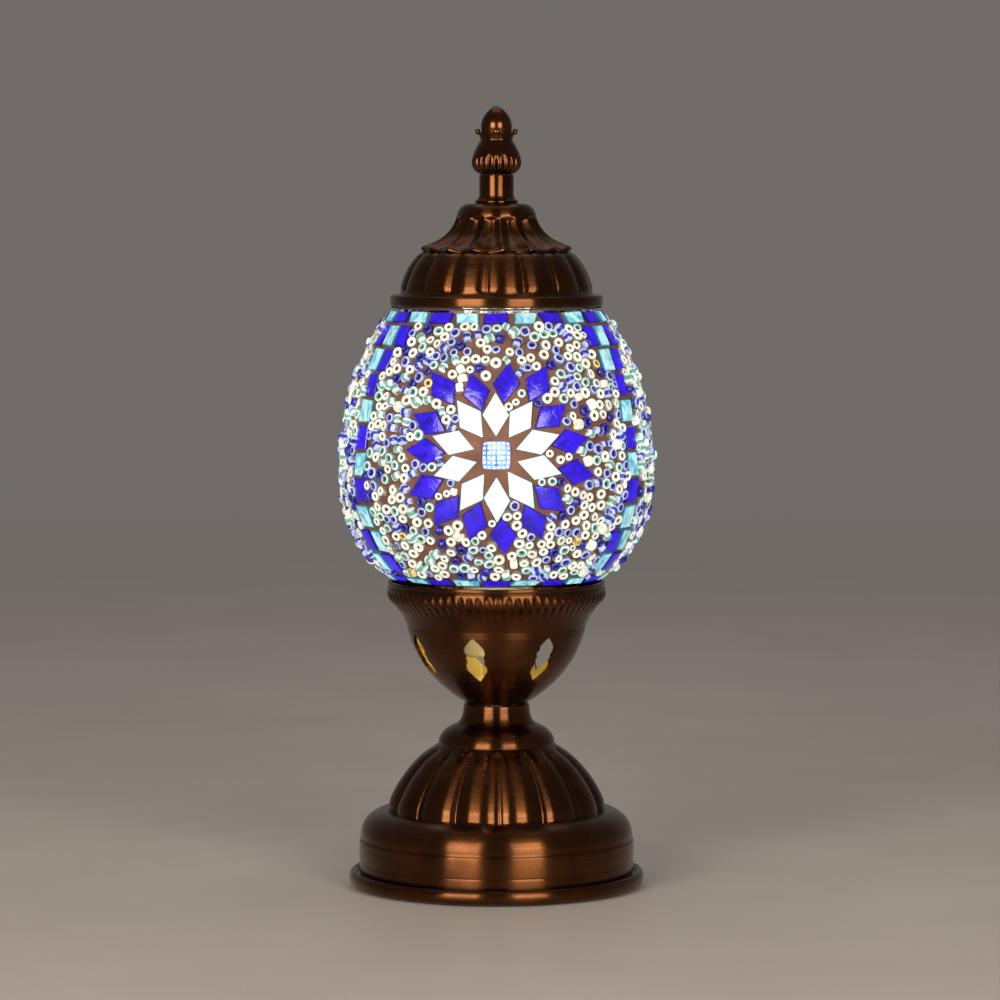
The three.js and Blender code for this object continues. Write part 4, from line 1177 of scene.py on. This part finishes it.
def scatter_beads(rng, clear):
    """Bead places as (arc, azimuth, radius): a few at random, more laid against them, then small fillers."""
    rows, columns = clear.shape
    arcs, azimuths, sizes = np.zeros(BEAD_MOST), np.zeros(BEAD_MOST), np.zeros(BEAD_MOST)
    count = 0

    def try_place(arc, azimuth, size):
        nonlocal count
        azimuth %= FULL_TURN
        if not 1.3 * MM < arc < arc_end - 1.6 * MM or count == BEAD_MOST:
            return
        if clear[int(arc / MAP_STEP), int(azimuth / FULL_TURN * columns) % columns] < size * 0.88:
            return
        beside = (azimuths[:count] - azimuth + math.pi) % FULL_TURN - math.pi
        distance = np.hypot(beside * radius_on_arc(arc), arcs[:count] - arc)
        if np.any(distance < (sizes[:count] + size) * 0.95):
            return
        arcs[count], azimuths[count], sizes[count] = arc, azimuth, size
        count += 1

    for attempt in range(BEAD_SEEDS):
        try_place(rng.uniform(0, arc_end), rng.uniform(0, FULL_TURN), rng.uniform(1.9, 2.25) * MM)
    done = 0
    while done < count:
        arc, azimuth, size = arcs[done], azimuths[done], sizes[done]
        for attempt in range(BEAD_NEIGHBOUR_TRIES):
            other = rng.uniform(1.75, 2.25) * MM
            reach = (size + other) * rng.uniform(0.951, 0.985)
            turn = rng.uniform(0, FULL_TURN)
            beside = reach * math.cos(turn) / radius_on_arc(arc)
            try_place(arc + reach * math.sin(turn), azimuth + beside, other)
        done += 1
    for attempt in range(BEAD_FILLERS):
        try_place(rng.uniform(0, arc_end), rng.uniform(0, FULL_TURN), rng.uniform(1.45, 1.75) * MM)
    return list(zip(arcs[:count].tolist(), azimuths[:count].tolist(), sizes[:count].tolist()))


def bead_mesh(rng, arc, azimuth, size, lying):
    """One rounded bead with its hole, standing out of the shade or lying on its side."""
    centre, right, up, normal = frame_at(arc, azimuth)
    hole = 0.27 * size
    half_wall = (size - hole) / 2
    half_tall = size * rng.uniform(0.60, 0.72)
    spin = rng.uniform(0, math.pi)
    along = (right * math.cos(spin) + up * math.sin(spin)).normalized()
    if lying:
        axis = (along + normal * rng.uniform(-0.25, 0.25)).normalized()
    else:
        axis = (normal + along * rng.uniform(-0.32, 0.32)).normalized()
    side = axis.orthogonal().normalized()
    other = axis.cross(side)
    origin = centre + normal * (bead_lift + (size * 0.30 if lying else 0.0))
    sides, profile = 14, 10
    vertices, lining = [], []
    for step in range(sides):
        turn = FULL_TURN * step / sides
        out = side * math.cos(turn) + other * math.sin(turn)
        for point in range(profile):
            angle = FULL_TURN * point / profile
            wide = math.copysign(abs(math.cos(angle)) ** 0.75, math.cos(angle))
            tall = math.copysign(abs(math.sin(angle)) ** 0.75, math.sin(angle))
            radius = hole + half_wall * (1 + wide)
            place = out * radius + axis * (half_tall * tall)
            vertices.append(tuple(origin + place))
            if lying:
                beside = abs(place.dot(axis.cross(normal)))
                lining.append(0.16 + 0.80 * beside / size)
            else:
                lining.append((radius - hole) / (2 * half_wall))
    return vertices, tube_faces(sides, profile, turned=True), lining


def make_beads(rng, clear, looks):
    groups = {kind: Gathered() for kind, share in BEAD_MIX}
    for arc, azimuth, size in scatter_beads(rng, clear):
        draw = rng.random()
        for kind, share in BEAD_MIX:
            draw -= share
            if draw < 0:
                break
        lying = rng.random() < (0.12 if kind == "white" else 0.34)
        vertices, faces, lining = bead_mesh(rng, arc, azimuth, size, lying)
        own = rng.uniform(0.75, 1.15)
        glow = [own * glow_at(vertices[0], 0.5)] * len(vertices)
        groups[kind].take(vertices, faces, glow=glow, lining=lining)
    for kind, group in groups.items():
        new_piece("beads_" + kind, group.vertices, group.faces, "shade",
                  [looks[kind]], ["mosaic_skin"], 180, group.values)


def make_grout(rng, look):
    """The bed of grout over the glass, lumpy where it was pressed between the beads."""
    sides = 420
    waves = [(rng.uniform(20, 60), rng.uniform(500, 1400), rng.uniform(0, FULL_TURN)) for wave in range(10)]
    levels = arc_lengths[::5].tolist() + [arc_end]
    vertices, glow = [], []
    for side in range(sides):
        azimuth = FULL_TURN * side / sides
        for arc in levels:
            centre, right, up, normal = frame_at(arc, azimuth)
            lump = sum(math.sin(round(a) * azimuth + b * arc + c) for a, b, c in waves) / 10
            vertices.append(tuple(centre + normal * (grout_lift + 0.45 * MM * lump)))
            glow.append(glow_at(vertices[-1], 1.2))
        for arc in reversed(levels[::4]):
            centre, right, up, normal = frame_at(arc, azimuth)
            vertices.append(tuple(centre - normal * 3.0 * MM))
            glow.append(0.5)
    faces = tube_faces(sides, len(vertices) // sides)
    new_piece("grout_bed", vertices, faces, "shade", [look], ["mosaic_skin"], 60, {"glow": glow})


def make_gem(number, look):
    """A square glass stone with a dome of small pointed facets."""
    name = "medallion_gem_%d" % (number + 1)
    azimuth = FULL_TURN * number / MEDALLION_COUNT
    centre, right, up, normal = frame_at(medallion_arc, azimuth)
    cells = 6
    half = 5.6 * MM
    girdle = -1.5 * MM
    crown = 1.7 * MM
    vertices, faces, tips, spots = [], [], [], []

    def add(x, y, lift, tip=0.0):
        tips.append(tip)
        spots.append((x, y))
        pull = 1 - 0.10 * (x * x + y * y - abs(x * y) * 0.4)
        vertices.append(tuple(centre + right * (x * half * pull) + up * (y * half * pull) + normal * lift))
        return len(vertices) - 1

    def dome(x, y):
        return (girdle + crown * (1 - max(abs(x), abs(y)) ** 3.0) * 0.75
                + crown * 0.25 * (1 - (x * x + y * y) / 2))

    grid = [[add(2 * i / cells - 1, 2 * j / cells - 1, dome(2 * i / cells - 1, 2 * j / cells - 1))
             for i in range(cells + 1)] for j in range(cells + 1)]
    for j in range(cells):
        for i in range(cells):
            x, y = (2 * i + 1) / cells - 1, (2 * j + 1) / cells - 1
            tip = add(x, y, dome(x, y) + 0.45 * MM, 1.0)
            ring = [grid[j][i], grid[j][i + 1], grid[j + 1][i + 1], grid[j + 1][i]]
            for first, second in zip(ring, ring[1:] + ring[:1]):
                faces.append((first, second, tip))
    border = grid[0][:] + [row[cells] for row in grid[1:]]
    border += grid[cells][cells - 1::-1] + [row[0] for row in grid[cells - 1:0:-1]]
    under = [add(*spots[number], -2.6 * MM) for number in border]
    count = len(border)
    for side in range(count):
        after = (side + 1) % count
        faces.append((under[side], under[after], border[after], border[side]))
    faces.append(tuple(under[::-1]))
    glow = [glow_at(vertex, 0.4) for vertex in vertices]
    new_piece(name + "_cut", vertices, faces, "shade", [look], [name], 1, {"glow": glow, "tip": tips})


# ---- the whole lamp

def dress(names, material):
    """Gives carried-over CAD nodes one material."""
    for name in names:
        slots = nodes[name].data.materials
        slots.clear()
        slots.append(material)


def numbered(*names):
    """The three CAD nodes of each name, numbered from 1."""
    return ["%s_%d" % (name, number) for name in names for number in (1, 2, 3)]


make_camera()
make_lights()
make_floor()

antique_bronze = spun_metal("antique_bronze", (0.115, 0.042, 0.013), (0.045, 0.016, 0.006),
                            0.19, 0.30, 0.92, 0.34)
cast_bronze = spun_metal("cast_bronze", (0.120, 0.046, 0.015), (0.040, 0.015, 0.006), 0.14, 0.24, 0.2, 0.05)
raw_brass = plain_metal("raw_brass", (1.0, 0.76, 0.20), (0.86, 0.60, 0.12), 0.30, 0.50, 0.25)
zinc_steel = plain_metal("zinc_steel", (0.70, 0.70, 0.68), (0.45, 0.45, 0.44), 0.22, 0.42, 0.15)
nickel = plain_metal("nickel", (0.78, 0.74, 0.66), (0.52, 0.48, 0.42), 0.18, 0.34, 0.2)

make_base_shell(antique_bronze)
make_base_plate(antique_bronze)
make_gallery_bowl(antique_bronze, raw_brass)
make_top_cap(antique_bronze)
make_sleeve(antique_bronze)
make_finial(cast_bronze)

dice = random.Random(7)
# Each tile glass: its pale and deep colours, its brightness and the scale of its streaks.
tile_glasses = {
    "white": ((1.0, 1.0, 0.96), (0.45, 0.82, 0.86), 1.15, 110.0),
    "cobalt": ((0.030, 0.0, 0.82), (0.008, 0.0, 0.34), 0.95, 120.0),
    "turquoise": ((0.55, 0.93, 0.96), (0.02, 0.36, 0.52), 0.9, 110.0),
}
# Each bead glass: the colours of its hole, lining and body, and its brightness.
bead_glasses = {
    "white": ((0.10, 0.05, 0.03), (0.84, 0.84, 0.66), (1.0, 1.0, 0.84), 0.95),
    "lined_blue": ((0.01, 0.01, 0.08), (0.02, 0.03, 0.36), (0.52, 0.60, 0.92), 0.90),
    "lined_aqua": ((0.03, 0.08, 0.07), (0.18, 0.40, 0.34), (0.80, 0.98, 0.86), 0.90),
    "cobalt": ((0.0, 0.0, 0.03), (0.005, 0.005, 0.20), (0.02, 0.02, 0.48), 0.8),
    "amber": ((0.08, 0.03, 0.01), (0.55, 0.32, 0.05), (0.85, 0.72, 0.34), 0.8),
}
tile_looks = {kind: lit_glass_tile("tile_" + kind, *glass) for kind, glass in tile_glasses.items()}
bead_looks = {kind: lit_bead("bead_" + kind, *glass) for kind, glass in bead_glasses.items()}
tile_places = lay_out_tiles(dice)
make_tiles(dice, tile_places, tile_looks)
make_beads(dice, clearance_map(tile_places), bead_looks)
make_grout(dice, lit_grout("grout"))
gem_look = lit_gem("gem")
for gem_number in range(MEDALLION_COUNT):
    make_gem(gem_number, gem_look)

dress(["shade_glass"], thin_clear_glass("shade_glass"))
dress(["bulb_globe"], lit_globe("frosted_globe"))
dress(["bulb_housing"],
      moulded("white_plastic", (0.80, 0.79, 0.75), (0.70, 0.69, 0.65), 0.30, 0.45, 900.0, 0.1))
dress(["lampholder"], moulded("ceramic", (0.78, 0.74, 0.66), (0.66, 0.62, 0.54), 0.12, 0.25, 300.0, 0.1))
dress(["lampholder_shell", "bulb_screw", "lampholder_contact", "bulb_tip"], nickel)
dress(["finial_insert"], raw_brass)
dress(["seat_ring"], antique_bronze)
dress(["threaded_tube", "lower_washer", "lower_nut", "upper_nut", "bridge_bar", "cap_stud",
       "stud_nut_lower", "stud_nut_upper"], zinc_steel)
dress(numbered("cell_spring", "cell_contact", "plate_screw", "plate_lug"), zinc_steel)
dress(["battery_box", "battery_door", "door_rail_left", "door_rail_right", "switch_body", "switch_slider"],
      moulded("black_plastic", (0.035, 0.035, 0.037), (0.020, 0.020, 0.022), 0.35, 0.55, 1400.0, 0.25))
dress(numbered("rubber_foot") + ["cap_gasket"],
      moulded("rubber", (0.030, 0.029, 0.028), (0.016, 0.016, 0.016), 0.65, 0.85, 1100.0, 0.35))
dress(numbered("battery_cell"), wrapped_cell("cell_sleeve"))
dress(["wire_battery_to_switch", "wire_switch_to_lampholder"],
      moulded("red_wire", (0.55, 0.03, 0.02), (0.40, 0.02, 0.015), 0.35, 0.5, 1800.0, 0.1))
dress(["wire_battery_to_lampholder"],
      moulded("black_wire", (0.03, 0.03, 0.03), (0.015, 0.015, 0.015), 0.35, 0.5, 1800.0, 0.1))
